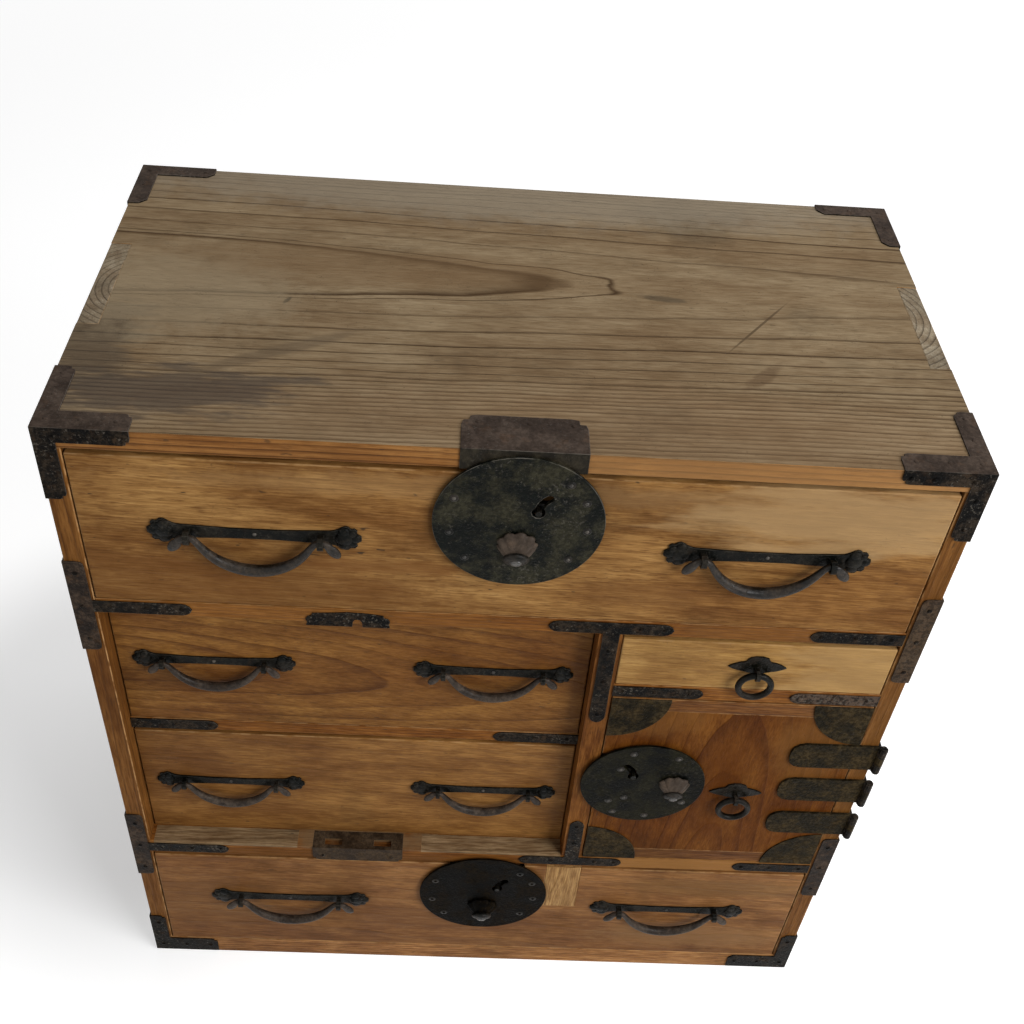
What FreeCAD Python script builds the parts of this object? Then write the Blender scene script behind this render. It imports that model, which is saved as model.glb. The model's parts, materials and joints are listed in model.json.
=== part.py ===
"""Small tansu chest: a parametric FreeCAD model, in millimetres.

Frame: X to the right seen from the front, Y from the front to the back, Z up.  The origin is the
centre of the base, on the surface that the chest stands on.  Every size is a cell of the sheet
"Sizes"; each piece is bound to those cells, and each finished piece is written to parts/.
"""
import FreeCAD, Part
import math
import os
import Sketcher

Vector = FreeCAD.Vector

SIZES = {
    # the case, seen from the front
    "case_width": 600.0,
    "case_depth": 330.0,
    "case_height": 638.0,
    "side_wall": 15.0,
    "top_thickness": 15.5,
    "base_thickness": 24.0,
    "back_thickness": 8.0,
    "back_board_count": 3.0,
    "finger_start": 111.0,
    "finger_width": 103.0,
    # the rails and boards that part the drawers
    "upper_rail_top": 487.0,
    "upper_rail_height": 14.5,
    "lower_rail_top": 185.5,
    "lower_rail_height": 16.0,
    "left_rail_top": 335.0,
    "left_rail_height": 12.5,
    "right_rail_top": 418.0,
    "right_rail_height": 14.5,
    "rail_depth": 30.0,
    "dust_board_thickness": 8.0,
    "recess_depth": 16.0,
    "divider_left": 67.0,
    "divider_width": 17.0,
    # the drawers
    "side_gap": 0.8,
    "head_gap": 4.2,
    "running_gap": 0.3,
    "front_thickness": 18.0,
    "drawer_side_thickness": 9.0,
    "drawer_bottom_thickness": 6.0,
    "drawer_side_drop": 5.0,
    "drawer_back_gap": 14.0,
    # the door
    "door_gap": 1.0,
    "door_thickness": 18.0,
    "batten_height": 14.0,
    "corner_plate_radius": 45.0,
    # inlays of the ledge in front of the two recessed drawers
    "inlay_thickness": 3.0,
    "inlay_left_start": 3.0,
    "inlay_left_gap": 13.0,
    "inlay_right_gap": 16.0,
    "inlay_right_end": 1.0,
    # the repair patch of the bottom drawer
    "patch_left": 56.0,
    "patch_width": 30.0,
    "patch_height": 64.0,
    "patch_thickness": 3.0,
    # iron sheet, straps and corner irons
    "sheet_thickness": 1.2,
    "iron_margin": 1.5,
    "corner_leg": 59.0,
    "corner_side_leg": 62.0,
    "corner_strip": 13.0,
    "corner_front_strip": 12.0,
    "corner_top_strip": 16.0,
    "corner_drop": 58.0,
    "corner_back_leg": 57.0,
    "corner_back_side_leg": 58.0,
    "base_iron_height": 62.0,
    "base_iron_low": 2.5,
    "base_iron_leg": 57.0,
    "iron_corner": 5.5,
    "band_width": 13.0,
    "band_wrap": 46.0,
    "upper_band_low": 434.0,
    "upper_band_height": 89.0,
    "lower_band_low": 135.0,
    "lower_band_height": 90.0,
    "strap_height": 11.0,
    "strap_length": 68.0,
    "strap_point": 7.0,
    "tee_left": 37.0,
    "tee_right": 35.5,
    "tee_drop": 107.0,
    "tee_rise": 61.0,
    "tee_width": 12.0,
    # the plates of the locking bar and the strike plate of the top lock
    "bar_plate_width": 77.0,
    "bar_plate_drop": 18.0,
    "bar_hole_width": 15.0,
    "bar_hole_depth": 6.5,
    "bar_hole_front": 2.5,
    "bar_hole_inset": 10.0,
    "bar_hole_deep": 3.5,
    "bar_upper_width": 59.0,
    "bar_upper_shift": 3.5,
    "bar_upper_rise": 1.2,
    "bar_arch_across": 6.5,
    "bar_arch_width": 11.0,
    "bar_arch_height": 7.0,
    "strike_width": 81.0,
    "strike_depth": 33.0,
    "strike_corner": 10.0,
    # the round locks
    "lock_radius": 56.5,
    "lock_across": 2.0,
    "top_lock_drop": 39.3,
    "bottom_lock_drop": 43.3,
    "lock_plate_thickness": 2.0,
    "lock_case_thickness": 1.5,
    "lock_case_radius": 38.0,
    "door_lock_radius": 50.0,
    "door_lock_case_radius": 35.5,
    "door_lock_inset": 37.5,
    "door_lock_rise": 3.5,
    "latch_thickness": 3.0,
    "latch_depth": 1.2,
    "latch_width": 8.0,
    "latch_throw": 7.0,
    "latch_swing": 55.0,
    "latch_pocket_depth": 5.4,
    "latch_pin_radius": 2.5,
    "latch_hub_radius": 6.0,
    "latch_clearance": 1.0,
    "stud_radius": 2.2,
    "stud_lever": 15.0,
    "stud_height": 1.5,
    "slot_width": 5.6,
    "stud_hole_radius": 4.4,
    "fit_gap": 0.1,
    "lock_pivot_across": 27.0,
    "lock_pivot_rise": 10.8,
    "door_pivot_across": 24.0,
    "door_pivot_rise": 11.0,
    "door_latch_rest": 8.0,
    "guard_width": 27.0,
    "guard_height": 21.0,
    "guard_depth": 9.5,
    "guard_drop": 25.5,
    "guard_petal_count": 5.0,
    "rod_facets": 10.0,
    "keyhole_width": 5.0,
    "door_guard_across": 25.0,
    "door_guard_drop": 4.0,
    # the swinging handles
    "handle_inset": 114.0,
    "small_handle_inset": 71.2,
    "top_handle_rise": 4.0,
    "upper_left_handle_rise": 6.0,
    "lower_left_handle_rise": 3.5,
    "bottom_handle_rise": 8.0,
    "small_handle_ratio": 0.86,
    "handle_length": 141.0,
    "handle_strip_width": 8.2,
    "handle_neck_width": 11.6,
    "handle_lobe_width": 21.0,
    "handle_lobe_length": 22.0,
    "handle_sheet_thickness": 1.5,
    "eye_spread": 43.5,
    "eye_stand": 6.8,
    "eye_radius": 5.0,
    "eye_hole_radius": 2.6,
    "eye_width": 4.0,
    "eye_drop": 0.5,
    "bail_drop": 28.5,
    "bail_facets": 8.0,
    "bow_stations": 8.0,
    "lobe_facets": 3.0,
    "tip_facets": 3.0,
    "bail_middle_radius": 4.2,
    "bail_end_radius": 2.1,
    "tail_half_width": 3.0,
    "tail_half_thickness": 1.9,
    "tail_length": 12.0,
    # the ring pulls
    "ring_radius": 12.2,
    "ring_wire_radius": 2.3,
    "ring_stations": 18.0,
    "ring_plate_width": 43.0,
    "ring_plate_height": 19.0,
    "ring_eye_radius": 4.6,
    "ring_eye_stand": 6.5,
    "ring_eye_width": 3.0,
    "ring_eye_drop": 4.0,
    "door_ring_across": 14.5,
    "door_ring_drop": 4.5,
    "small_ring_across": 1.5,
    "small_ring_rise": 2.5,
    # the door hinges
    "hinge_axis_out": 3.5,
    "hinge_pin_radius": 1.5,
    "hinge_barrel_radius": 3.3,
    "hinge_height": 29.0,
    "hinge_strap_length": 71.0,
    "hinge_strap_thickness": 2.0,
    "hinge_leaf_length": 46.0,
    "hinge_upper_rise": 47.5,
    "hinge_middle_rise": 2.5,
    "hinge_lower_drop": 44.5,
    "hinge_head": 1.0,
    "hinge_head_radius": 2.6,
}

doc = FreeCAD.newDocument("Tansu")
sheet = doc.addObject("Spreadsheet::Sheet", "Sizes")
for row, (alias, value) in enumerate(SIZES.items(), start=1):
    sheet.set("A%d" % row, alias.replace("_", " "))
    sheet.set("B%d" % row, "%g" % value)
    sheet.setAlias("B%d" % row, alias)
doc.recompute()


class Length:
    """A number together with the sheet formula that gives it."""

    def __init__(self, value, formula):
        self.value = float(value)
        self.formula = formula

    def __float__(self):
        return self.value

    def __neg__(self):
        return Length(-self.value, "(0 - %s)" % self.formula)

    def __add__(self, other):
        return Length(self.value + float(other), "(%s + %s)" % (self.formula, formula(other)))

    def __sub__(self, other):
        return Length(self.value - float(other), "(%s - %s)" % (self.formula, formula(other)))

    def __mul__(self, other):
        return Length(self.value * float(other), "(%s * %s)" % (self.formula, formula(other)))

    def __truediv__(self, other):
        return Length(self.value / float(other), "(%s / %s)" % (self.formula, formula(other)))

    def __radd__(self, other):
        return Length(float(other) + self.value, "(%s + %s)" % (formula(other), self.formula))

    def __rsub__(self, other):
        return Length(float(other) - self.value, "(%s - %s)" % (formula(other), self.formula))

    __rmul__ = __mul__


def formula(number):
    """The sheet formula of a Length, or the text of a plain number."""
    return number.formula if isinstance(number, Length) else "%.9g" % number


class Sheet:
    """Reads each cell of the sheet as a Length, by its alias."""

    def __getattr__(self, alias):
        return Length(getattr(sheet, alias), "Sizes." + alias)


S = Sheet()
NODES = []


def node(label, item):
    """Name a finished piece: its label is the name of its file."""
    item.Label = label
    NODES.append(item)
    return item


def bind(item, path, number):
    """Set a property of an item from a Length or a plain number."""
    item.setExpression(path, formula(number))


def place(item, x=0, y=0, z=0):
    """Bind the place of an item to the sheet."""
    for axis, number in zip("xyz", (x, y, z)):
        bind(item, "Placement.Base." + axis, number)
    return item


def box(name, x, y, z):
    """A block from its low and high ends along each axis."""
    item = doc.addObject("Part::Box", name)
    for axis, size, (low, high) in zip("xyz", ("Length", "Width", "Height"), (x, y, z)):
        bind(item, size, high - low)
        bind(item, "Placement.Base." + axis, low)
    return item


TURNS = {"x": FreeCAD.Rotation(Vector(0, 1, 0), 90), "y": FreeCAD.Rotation(Vector(1, 0, 0), -90),
         "z": FreeCAD.Rotation()}


def rod(name, radius, length, at, axis):
    """A forged rod with flat sides inside the radius, that runs from a point along +X, +Y or +Z."""
    item = doc.addObject("Part::Prism", name)
    bind(item, "Polygon", S.rod_facets)
    bind(item, "Circumradius", radius)
    bind(item, "Height", length)
    item.Placement = FreeCAD.Placement(Vector(), TURNS[axis])
    return place(item, *at)


def bore(name, radius, length, at, axis):
    """The tool for a filed hole that a rod of the same radius turns in: its flats lie outside it."""
    item = rod(name, radius, length, at, axis)
    item.setExpression("Circumradius", "%s / cos(180deg / Sizes.rod_facets)" % formula(radius))
    return item


def fuse(name, items):
    """One solid from several that touch or overlap."""
    if len(items) == 1:
        return items[0]
    item = doc.addObject("Part::MultiFuse", name)
    item.Shapes = items
    item.Refine = True
    return item


def cut(name, base, tools):
    """A piece with some others taken out of it."""
    item = doc.addObject("Part::Cut", name)
    item.Base = base
    item.Tool = fuse(name + "Tools", tools)
    return item


def group(name, items):
    """Several solids kept apart, under one name."""
    item = doc.addObject("Part::Compound", name)
    item.Links = items
    return item


PLANES = {"front": "XZ_Plane", "top": "XY_Plane", "side": "YZ_Plane"}


def sketch_on(body, plane, offset=0):
    """An empty sketch on a plane of a body's own origin, moved along the plane's normal."""
    sketch = body.newObject("Sketcher::SketchObject", body.Name + "Sketch")
    for feature in body.Origin.OriginFeatures:
        if feature.Role == PLANES[plane]:
            sketch.AttachmentSupport = [(feature, "")]
    sketch.MapMode = "FlatFace"
    bind(sketch, "AttachmentOffset.Base.z", offset)
    return sketch


def pad(body, sketch, thickness, inward=False, midplane=False):
    """Pad a sketch along its plane's normal: out of the front, up, or to the right."""
    feature = body.newObject("PartDesign::Pad", body.Name + "Pad")
    feature.Profile = sketch
    bind(feature, "Length", thickness)
    feature.Reversed = inward
    feature.Midplane = midplane
    sketch.Visibility = False
    return feature


def draw(sketch, points):
    """Draw a closed outline: a point is (u, v), or (u, v, via_u, via_v) at the end of an arc."""
    last = points[-1][:2]
    first = None
    for point in points:
        start = Vector(float(last[0]), float(last[1]), 0)
        end = Vector(float(point[0]), float(point[1]), 0)
        if len(point) == 4:
            via = Vector(float(point[2]), float(point[3]), 0)
            index = sketch.addGeometry(Part.Arc(start, via, end), False)
        else:
            index = sketch.addGeometry(Part.LineSegment(start, end), False)
        first = index if first is None else first
        last = point[:2]
    return first


def flattened(outline, flats):
    """An outline with each of its arcs filed into a number of flats."""
    places = []
    last = outline[-1][:2]
    for point in outline:
        if len(point) == 4:
            arc = Part.Arc(Vector(*last, 0), Vector(*point[2:], 0), Vector(*point[:2], 0))
            for place in arc.toShape().discretize(Number=int(float(flats)) + 1)[1:]:
                places.append((place.x, place.y))
        else:
            places.append(point)
        last = point[:2]
    return places


def outline_plate(name, plane, points, thickness, at=(0, 0, 0), inward=False, midplane=False):
    """A flat piece padded from an outline of lines and arcs."""
    body = doc.addObject("PartDesign::Body", name)
    sketch = sketch_on(body, plane)
    draw(sketch, points)
    pad(body, sketch, thickness, inward, midplane)
    return place(body, *at)


def disc(name, plane, radius, thickness, at, inward=False):
    """A round plate from a circle whose radius is bound to the sheet."""
    body = doc.addObject("PartDesign::Body", name)
    sketch = sketch_on(body, plane)
    index = sketch.addGeometry(Part.Circle(Vector(), Vector(0, 0, 1), float(radius)), False)
    sketch.addConstraint(Sketcher.Constraint("Coincident", index, 3, -1, 1))
    row = sketch.addConstraint(Sketcher.Constraint("Radius", index, float(radius)))
    sketch.setExpression("Constraints[%d]" % row, formula(radius))
    pad(body, sketch, thickness, inward)
    return place(body, *at)


def rectangle(sketch, u, v):
    """A rectangle whose four sides are bound to the sheet, from its ends along both axes."""
    (left, right), (low, high) = u, v
    corners = [(left, low), (right, low), (right, high), (left, high)]
    first = draw(sketch, corners)
    sides = [first + turn for turn in range(4)]
    constraints = [Sketcher.Constraint("Coincident", sides[turn], 2, sides[(turn + 1) % 4], 1)
                   for turn in range(4)]
    constraints += [Sketcher.Constraint(kind, side) for kind, side in
                    zip(("Vertical", "Horizontal", "Vertical", "Horizontal"), sides)]
    sketch.addConstraint(constraints)
    bounds = (("DistanceX", sides[0], left), ("DistanceY", sides[1], low),
              ("DistanceX", sides[2], right), ("DistanceY", sides[3], high))
    for kind, side, number in bounds:
        row = sketch.addConstraint(Sketcher.Constraint(kind, -1, 1, side, 1, float(number)))
        sketch.setExpression("Constraints[%d]" % row, formula(number))


def front_board(name, x, z, front, thickness, pockets):
    """A drawer front or door panel: a padded rectangle with pockets (x, z, depth) in its face."""
    body = doc.addObject("PartDesign::Body", name)
    face = sketch_on(body, "front", -front)
    rectangle(face, x, z)
    pad(body, face, thickness, inward=True)
    for pocket_x, pocket_z, depth in pockets:
        sketch = sketch_on(body, "front", -front)
        rectangle(sketch, pocket_x, pocket_z)
        pocket = body.newObject("PartDesign::Pocket", name + "Pocket")
        pocket.Profile = sketch
        bind(pocket, "Length", depth)
        pocket.Reversed = False
        sketch.Visibility = False
    return body


# ---------------------------------------------------------------- places that several pieces share

FLOOR = 0
right = S.case_width / 2
left = -right
front = -S.case_depth / 2
back = S.case_depth / 2
inner_right = right - S.side_wall
inner_left = -inner_right
top_under = S.case_height - S.top_thickness
base_top = S.base_thickness
back_face = back - S.back_thickness
divider_right = S.divider_left + S.divider_width
upper_rail_under = S.upper_rail_top - S.upper_rail_height
lower_rail_under = S.lower_rail_top - S.lower_rail_height
left_rail_under = S.left_rail_top - S.left_rail_height
right_rail_under = S.right_rail_top - S.right_rail_height
recessed_front = front + S.recess_depth
iron_out = right + S.sheet_thickness
iron_front = front - S.sheet_thickness
iron_top = S.case_height + S.sheet_thickness
bar_middle = (inner_left + S.divider_left) / 2
bar_plate = (bar_middle - S.bar_plate_width / 2, bar_middle + S.bar_plate_width / 2)


def mirrored(span, side):
    """A span along X, on the right side of the chest (side 1) or mirrored to the left (-1)."""
    low, high = span
    return (low, high) if side > 0 else (-high, -low)


# ---------------------------------------------------------------- the case


def mortise_for(name, lock, above):
    """The mortise that a swung latch enters, in the board above a drawer."""
    tip = lock["reach"] * math.cos(math.radians(float(S.latch_swing)))
    middle = lock["pivot_x"] - tip
    deep = S.latch_throw + S.latch_clearance * 2
    return box(name, (middle - S.latch_width * 2, middle + S.latch_width * 1.5),
               (front + S.latch_depth - S.latch_clearance / 2,
                front + S.latch_depth + S.latch_thickness + S.latch_clearance),
               (above, above + deep))


def drawer_lock(top, drop):
    """Places of a round drawer lock whose plate stands a set drop below the drawer's top edge."""
    lock = {"x": S.lock_across, "z": top - drop}
    lock["pivot_x"] = lock["x"] + S.lock_pivot_across
    lock["pivot_z"] = lock["z"] + S.lock_pivot_rise
    rise = drop - S.lock_pivot_rise + S.head_gap + S.latch_throw
    lock["reach"] = rise / math.sin(math.radians(float(S.latch_swing)))
    return lock


top_drawer_top = top_under - S.head_gap
bottom_drawer_top = lower_rail_under - S.head_gap
TOP_LOCK = drawer_lock(top_drawer_top, S.top_lock_drop)
BOTTOM_LOCK = drawer_lock(bottom_drawer_top, S.bottom_lock_drop)

door_left = divider_right + S.door_gap
door_right = inner_right - S.door_gap
door_low = S.lower_rail_top + S.door_gap
door_high = right_rail_under - S.door_gap
door_front = front - S.running_gap
DOOR_LOCK = {"x": door_left + S.door_lock_inset - S.door_gap,
             "z": (door_low + door_high) / 2 + S.door_lock_rise}
DOOR_LOCK["pivot_x"] = DOOR_LOCK["x"] - S.door_pivot_across
DOOR_LOCK["pivot_z"] = DOOR_LOCK["z"] + S.door_pivot_rise


def door_latch_reach():
    """How far the door's latch reaches from its pivot, to enter the divider by the throw."""
    swung = math.radians(float(S.latch_swing + S.door_latch_rest))
    across = DOOR_LOCK["pivot_x"] - door_left + S.door_gap + S.latch_throw
    return across / math.sin(swung)


DOOR_LOCK["reach"] = door_latch_reach()


def case_boards():
    """Top, base, sides, divider and back: finger-jointed boards."""
    fingers = (front + S.finger_start, front + S.finger_start + S.finger_width)
    full = (front, back)

    def finger(name, side, z):
        return box(name, mirrored((inner_right, right), side), fingers, z)

    top = box("TopBlank", (left, right), full, (top_under, S.case_height))
    node("top_board", cut("Top", top, [finger("TopNotchRight", 1, (top_under, S.case_height)),
                                       finger("TopNotchLeft", -1, (top_under, S.case_height)),
                                       mortise_for("TopMortise", TOP_LOCK, top_under)]))
    base = box("BaseBlank", (left, right), full, (FLOOR, base_top))
    node("bottom_board", cut("Base", base, [finger("BaseNotchRight", 1, (FLOOR, base_top)),
                                            finger("BaseNotchLeft", -1, (FLOOR, base_top))]))
    for side, word in ((1, "right"), (-1, "left")):
        panel = box("Side" + word, mirrored((inner_right, right), side), full, (base_top, top_under))
        tongue = finger("Fingers" + word, side, (FLOOR, S.case_height))
        node("side_board_" + word, fuse("SideBoard" + word, [panel, tongue]))

    swung = math.radians(float(S.latch_swing + S.door_latch_rest))
    tip_z = DOOR_LOCK["pivot_z"] + DOOR_LOCK["reach"] * math.cos(swung)
    divider = box("DividerBlank", (S.divider_left, divider_right), (front, back_face),
                  (S.lower_rail_top, upper_rail_under))
    slot = box("DividerMortise",
               (divider_right - S.latch_throw - S.latch_clearance * 2, divider_right),
               (front + S.latch_depth - S.latch_clearance,
                front + S.latch_depth + S.latch_thickness + S.latch_clearance),
               (tip_z - S.latch_width, tip_z + S.latch_width * 2))
    node("divider", cut("Divider", divider, [slot]))

    boards = []
    count = int(float(S.back_board_count))
    pitch = (top_under - base_top) / S.back_board_count
    for index in range(count):
        low = base_top + pitch * index
        boards.append(box("BackBoard%d" % index, (inner_left, inner_right), (back_face, back),
                          (low, low + pitch)))
    node("back_boards", group("Back", boards))


def rails():
    """The rails between the drawers, and the dust boards that the drawers run on."""
    depth = S.rail_depth
    upper = box("UpperRailBlank", (inner_left, inner_right), (front, front + depth),
                (upper_rail_under, S.upper_rail_top))
    node("upper_rail", upper)

    inlay_low = S.lower_rail_top - S.inlay_thickness
    ledge = (front, recessed_front)
    inlay_left = (inner_left + S.inlay_left_start, bar_plate[0] - S.inlay_left_gap)
    inlay_right = (bar_plate[1] + S.inlay_right_gap, S.divider_left - S.inlay_right_end)
    rail = box("LowerRailBlank", (inner_left, inner_right), (front, front + depth),
               (lower_rail_under, S.lower_rail_top))
    tools = [box("InlayRecessLeft", inlay_left, ledge, (inlay_low, S.lower_rail_top)),
             box("InlayRecessRight", inlay_right, ledge, (inlay_low, S.lower_rail_top)),
             box("BarPlateRecess", bar_plate, ledge,
                 (S.lower_rail_top - S.sheet_thickness, S.lower_rail_top)),
             mortise_for("RailMortise", BOTTOM_LOCK, lower_rail_under)]
    tools += [box("BarMortise%d" % index, span, bar_hole_y(),
                  (S.lower_rail_top - S.sheet_thickness - S.bar_hole_deep, S.lower_rail_top))
              for index, span in enumerate(bar_holes())]
    node("lower_rail", cut("LowerRail", rail, tools))
    node("ledge_inlays", group("Inlays", [
        box("InlayLeft", inlay_left, ledge, (inlay_low, S.lower_rail_top)),
        box("InlayRight", inlay_right, ledge, (inlay_low, S.lower_rail_top))]))

    node("middle_rail_left", box("LeftRail", (inner_left, S.divider_left),
                                 (recessed_front, recessed_front + depth),
                                 (left_rail_under, S.left_rail_top)))
    node("middle_rail_right", box("RightRail", (divider_right, inner_right), (front, front + depth),
                                  (right_rail_under, S.right_rail_top)))

    levels = (("Upper", (inner_left, inner_right), front + depth, S.upper_rail_top),
              ("Left", (inner_left, S.divider_left), recessed_front + depth, S.left_rail_top),
              ("Right", (divider_right, inner_right), front + depth, S.right_rail_top),
              ("Lower", (inner_left, inner_right), front + depth, S.lower_rail_top))
    boards = [box("DustBoard" + word, span, (start, back_face), (level - S.dust_board_thickness, level))
              for word, span, start, level in levels]
    node("dust_boards", group("DustBoards", boards))


def bar_hole_y():
    """From the front to the back of the two holes for the feet of a locking bar."""
    return (front + S.bar_hole_front, front + S.bar_hole_front + S.bar_hole_depth)


def bar_holes():
    """The spans along X of the two holes for the feet of a locking bar."""
    start = bar_plate[0] + S.bar_hole_inset
    end = bar_plate[1] - S.bar_hole_inset
    return ((start, start + S.bar_hole_width), (end - S.bar_hole_width, end))


# ---------------------------------------------------------------- the iron on the case


# The line of a cut corner, as shares of its size back along one edge and on along the next.
CHAMFER = ((1, 0), (0, 1))
ROUND = ((1, 0), (0.35, 0.12), (0.12, 0.35), (0, 1))
CLOUD = ((1, 0), (0.55, 0.12), (0.52, 0.52), (0.12, 0.55), (0, 1))


def cornered(u, v, size, corners, line=CHAMFER):
    """A rectangle with the named corners cut to a line: 'sw', 'se', 'ne' or 'nw'."""
    (west, east), (south, north) = u, v
    places = (("sw", west, south, (0, 1), (1, 0)), ("se", east, south, (-1, 0), (0, 1)),
              ("ne", east, north, (0, -1), (-1, 0)), ("nw", west, north, (1, 0), (0, -1)))
    points = []
    for name, corner_u, corner_v, before, after in places:
        for back_by, on_by in line if name in corners else ((0, 0),):
            points.append((corner_u + (before[0] * back_by + after[0] * on_by) * size,
                           corner_v + (before[1] * back_by + after[1] * on_by) * size))
    return [(float(point_u), float(point_v)) for point_u, point_v in points]


def strips(name, plane, spans, at, line=CHAMFER):
    """Flat iron strips on one plane: each is (u, v, cut corners)."""
    return [outline_plate("%s%d" % (name, index), plane,
                          cornered(u, v, S.iron_corner, corners, line), S.sheet_thickness, at)
            for index, (u, v, corners) in enumerate(spans)]


def flip(corners, side):
    """Corner names on the right side of the chest, or mirrored for the left side."""
    if side > 0:
        return corners
    swap = {"sw": "se", "se": "sw", "nw": "ne", "ne": "nw"}
    return [swap[corner] for corner in corners]


def side_wrap(name, side, spans, line=CHAMFER):
    """Iron strips on the outer face of a side board: each is (y, z, cut corners)."""
    start = right if side > 0 else left - S.sheet_thickness
    return strips(name, "side", spans, (start, 0, 0), line)


def corner_irons():
    """Three-way irons over the top corners, and two-way irons at the foot."""
    tops = []
    feet = []
    edge = S.iron_margin
    for side, word in ((1, "Right"), (-1, "Left")):
        def across(low, high):
            return mirrored((low, high), side)

        strip = right - S.corner_strip
        leg = right - S.corner_leg
        drop = S.case_height - S.corner_drop
        tops.append(fuse("TopIron" + word, strips("TopIronTop" + word, "top", (
            (across(strip, iron_out), (iron_front, front + S.corner_side_leg), flip(["nw"], side)),
            (across(leg, iron_out), (iron_front, front + S.corner_top_strip), flip(["nw"], side)),
        ), (0, 0, S.case_height), CLOUD) + strips("TopIronFront" + word, "front", (
            (across(strip, iron_out), (drop, iron_top), flip(["sw"], side)),
            (across(leg, iron_out), (iron_top - S.corner_front_strip, iron_top),
             flip(["sw"], side)),
        ), (0, front, 0), CLOUD) + side_wrap("TopIronSide" + word, side, (
            ((iron_front, front + S.corner_strip), (drop, iron_top), ["se"]),
            ((iron_front, front + S.corner_side_leg), (iron_top - S.corner_strip, iron_top), ["se"]),
        ), CLOUD)))
        back_leg = back - S.corner_back_side_leg
        tops.append(fuse("BackIron" + word, strips("BackIronTop" + word, "top", (
            (across(strip, iron_out), (back_leg, back + S.sheet_thickness), flip(["sw"], side)),
            (across(right - S.corner_back_leg, iron_out),
             (back - S.corner_strip, back + S.sheet_thickness), flip(["sw"], side)),
        ), (0, 0, S.case_height)) + side_wrap("BackIronSide" + word, side, (
            ((back - S.corner_strip, back + S.sheet_thickness), (drop, iron_top), ["sw"]),
            ((back_leg, back + S.sheet_thickness), (iron_top - S.corner_strip, iron_top), ["sw"]),
        )) + strips("BackIronBack" + word, "front", (
            (across(right - S.corner_back_leg, iron_out), (iron_top - S.corner_strip, iron_top),
             flip(["sw"], side)),
            (across(strip, iron_out), (drop, iron_top), flip(["sw"], side)),
        ), (0, back + S.sheet_thickness, 0))))

        low = S.base_iron_low
        high = base_top - S.iron_margin
        feet.append(fuse("FootIron" + word, strips("FootIronFront" + word, "front", (
            (across(strip, iron_out), (low, S.base_iron_height), flip(["nw"], side)),
            (across(right - S.base_iron_leg, iron_out), (low, high), flip(["nw"], side)),
        ), (0, front, 0), CLOUD) + side_wrap("FootIronSide" + word, side, (
            ((iron_front, front + S.corner_strip), (low, S.base_iron_height), ["ne"]),
            ((iron_front, front + S.base_iron_leg), (low, high), ["ne"]),
        ), CLOUD)))
        feet.append(fuse("FootBackIron" + word, strips("FootIronBack" + word, "front", (
            (across(strip, iron_out), (low, S.base_iron_height), flip(["nw"], side)),
            (across(right - S.base_iron_leg, iron_out), (low, high),
             flip(["nw", "sw"], side)),
        ), (0, back + S.sheet_thickness, 0)) + side_wrap("FootBackSide" + word, side, (
            ((back - S.corner_strip, back + S.sheet_thickness), (low, S.base_iron_height), ["nw"]),
            ((back - S.base_iron_leg, back + S.sheet_thickness), (low, high),
             ["nw", "sw"]),
        ))))
    node("corner_irons_top", group("TopIrons", tops))
    node("corner_irons_bottom", group("FootIrons", feet))


def side_bands():
    """Iron bands that wrap each front edge of the sides, at both long rails."""
    bands = []
    levels = (("Upper", S.upper_band_low, S.upper_band_height),
              ("Lower", S.lower_band_low, S.lower_band_height))
    for side, word in ((1, "Right"), (-1, "Left")):
        for level, low, height in levels:
            face = strips("Band%s%s" % (level, word), "front", (
                (mirrored((right - S.band_width, iron_out), side), (low, low + height),
                 flip(["nw", "sw"], side)),), (0, front, 0), ROUND)
            wrap = side_wrap("BandWrap%s%s" % (level, word), side, (
                ((iron_front, front + S.band_wrap), (low, low + height), ["ne", "se"]),), ROUND)
            bands.append(fuse("SideBand%s%s" % (level, word), face + wrap))
    node("side_bands", group("SideBands", bands))


def strap_outline(start, end, middle, half, points_at):
    """A long strap with a bracket-shaped point at the named ends ('low' or 'high')."""
    start, end, middle, half = float(start), float(end), float(middle), float(half)

    def tip(place, inward):
        """The end of the strap, walked from its upper edge to its lower edge."""
        shoulder = place + inward * float(S.strap_point)
        bulge = place + inward * float(S.strap_point) * 0.4
        return [(shoulder, middle + half), (place, middle, bulge, middle + half * 0.75),
                (shoulder, middle - half, bulge, middle - half * 0.75)]

    def square(place):
        """A square end, walked from its upper edge to its lower edge."""
        return [(place, middle + half), (place, middle - half)]

    low_end = tip(start, 1) if "low" in points_at else square(start)
    high_end = tip(end, -1) if "high" in points_at else square(end)
    return low_end + backwards(high_end)


def backwards(points):
    """The same run of lines and arcs, walked from its other end."""
    places = [point[:2] for point in points][::-1]
    vias = [point[2:] for point in points[1:]][::-1]
    return places[:1] + [place + via for place, via in zip(places[1:], vias)]


def flip_over(points):
    """A run of lines and arcs mirrored to the other side of the first axis."""
    return [tuple(-number if index % 2 else number for index, number in enumerate(point))
            for point in points]


def swap_axes(outline):
    """Turn an outline by swapping its two axes."""
    swapped = []
    for point in outline:
        turned = (point[1], point[0])
        if len(point) == 4:
            turned += (point[3], point[2])
        swapped.append(turned)
    return swapped


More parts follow.
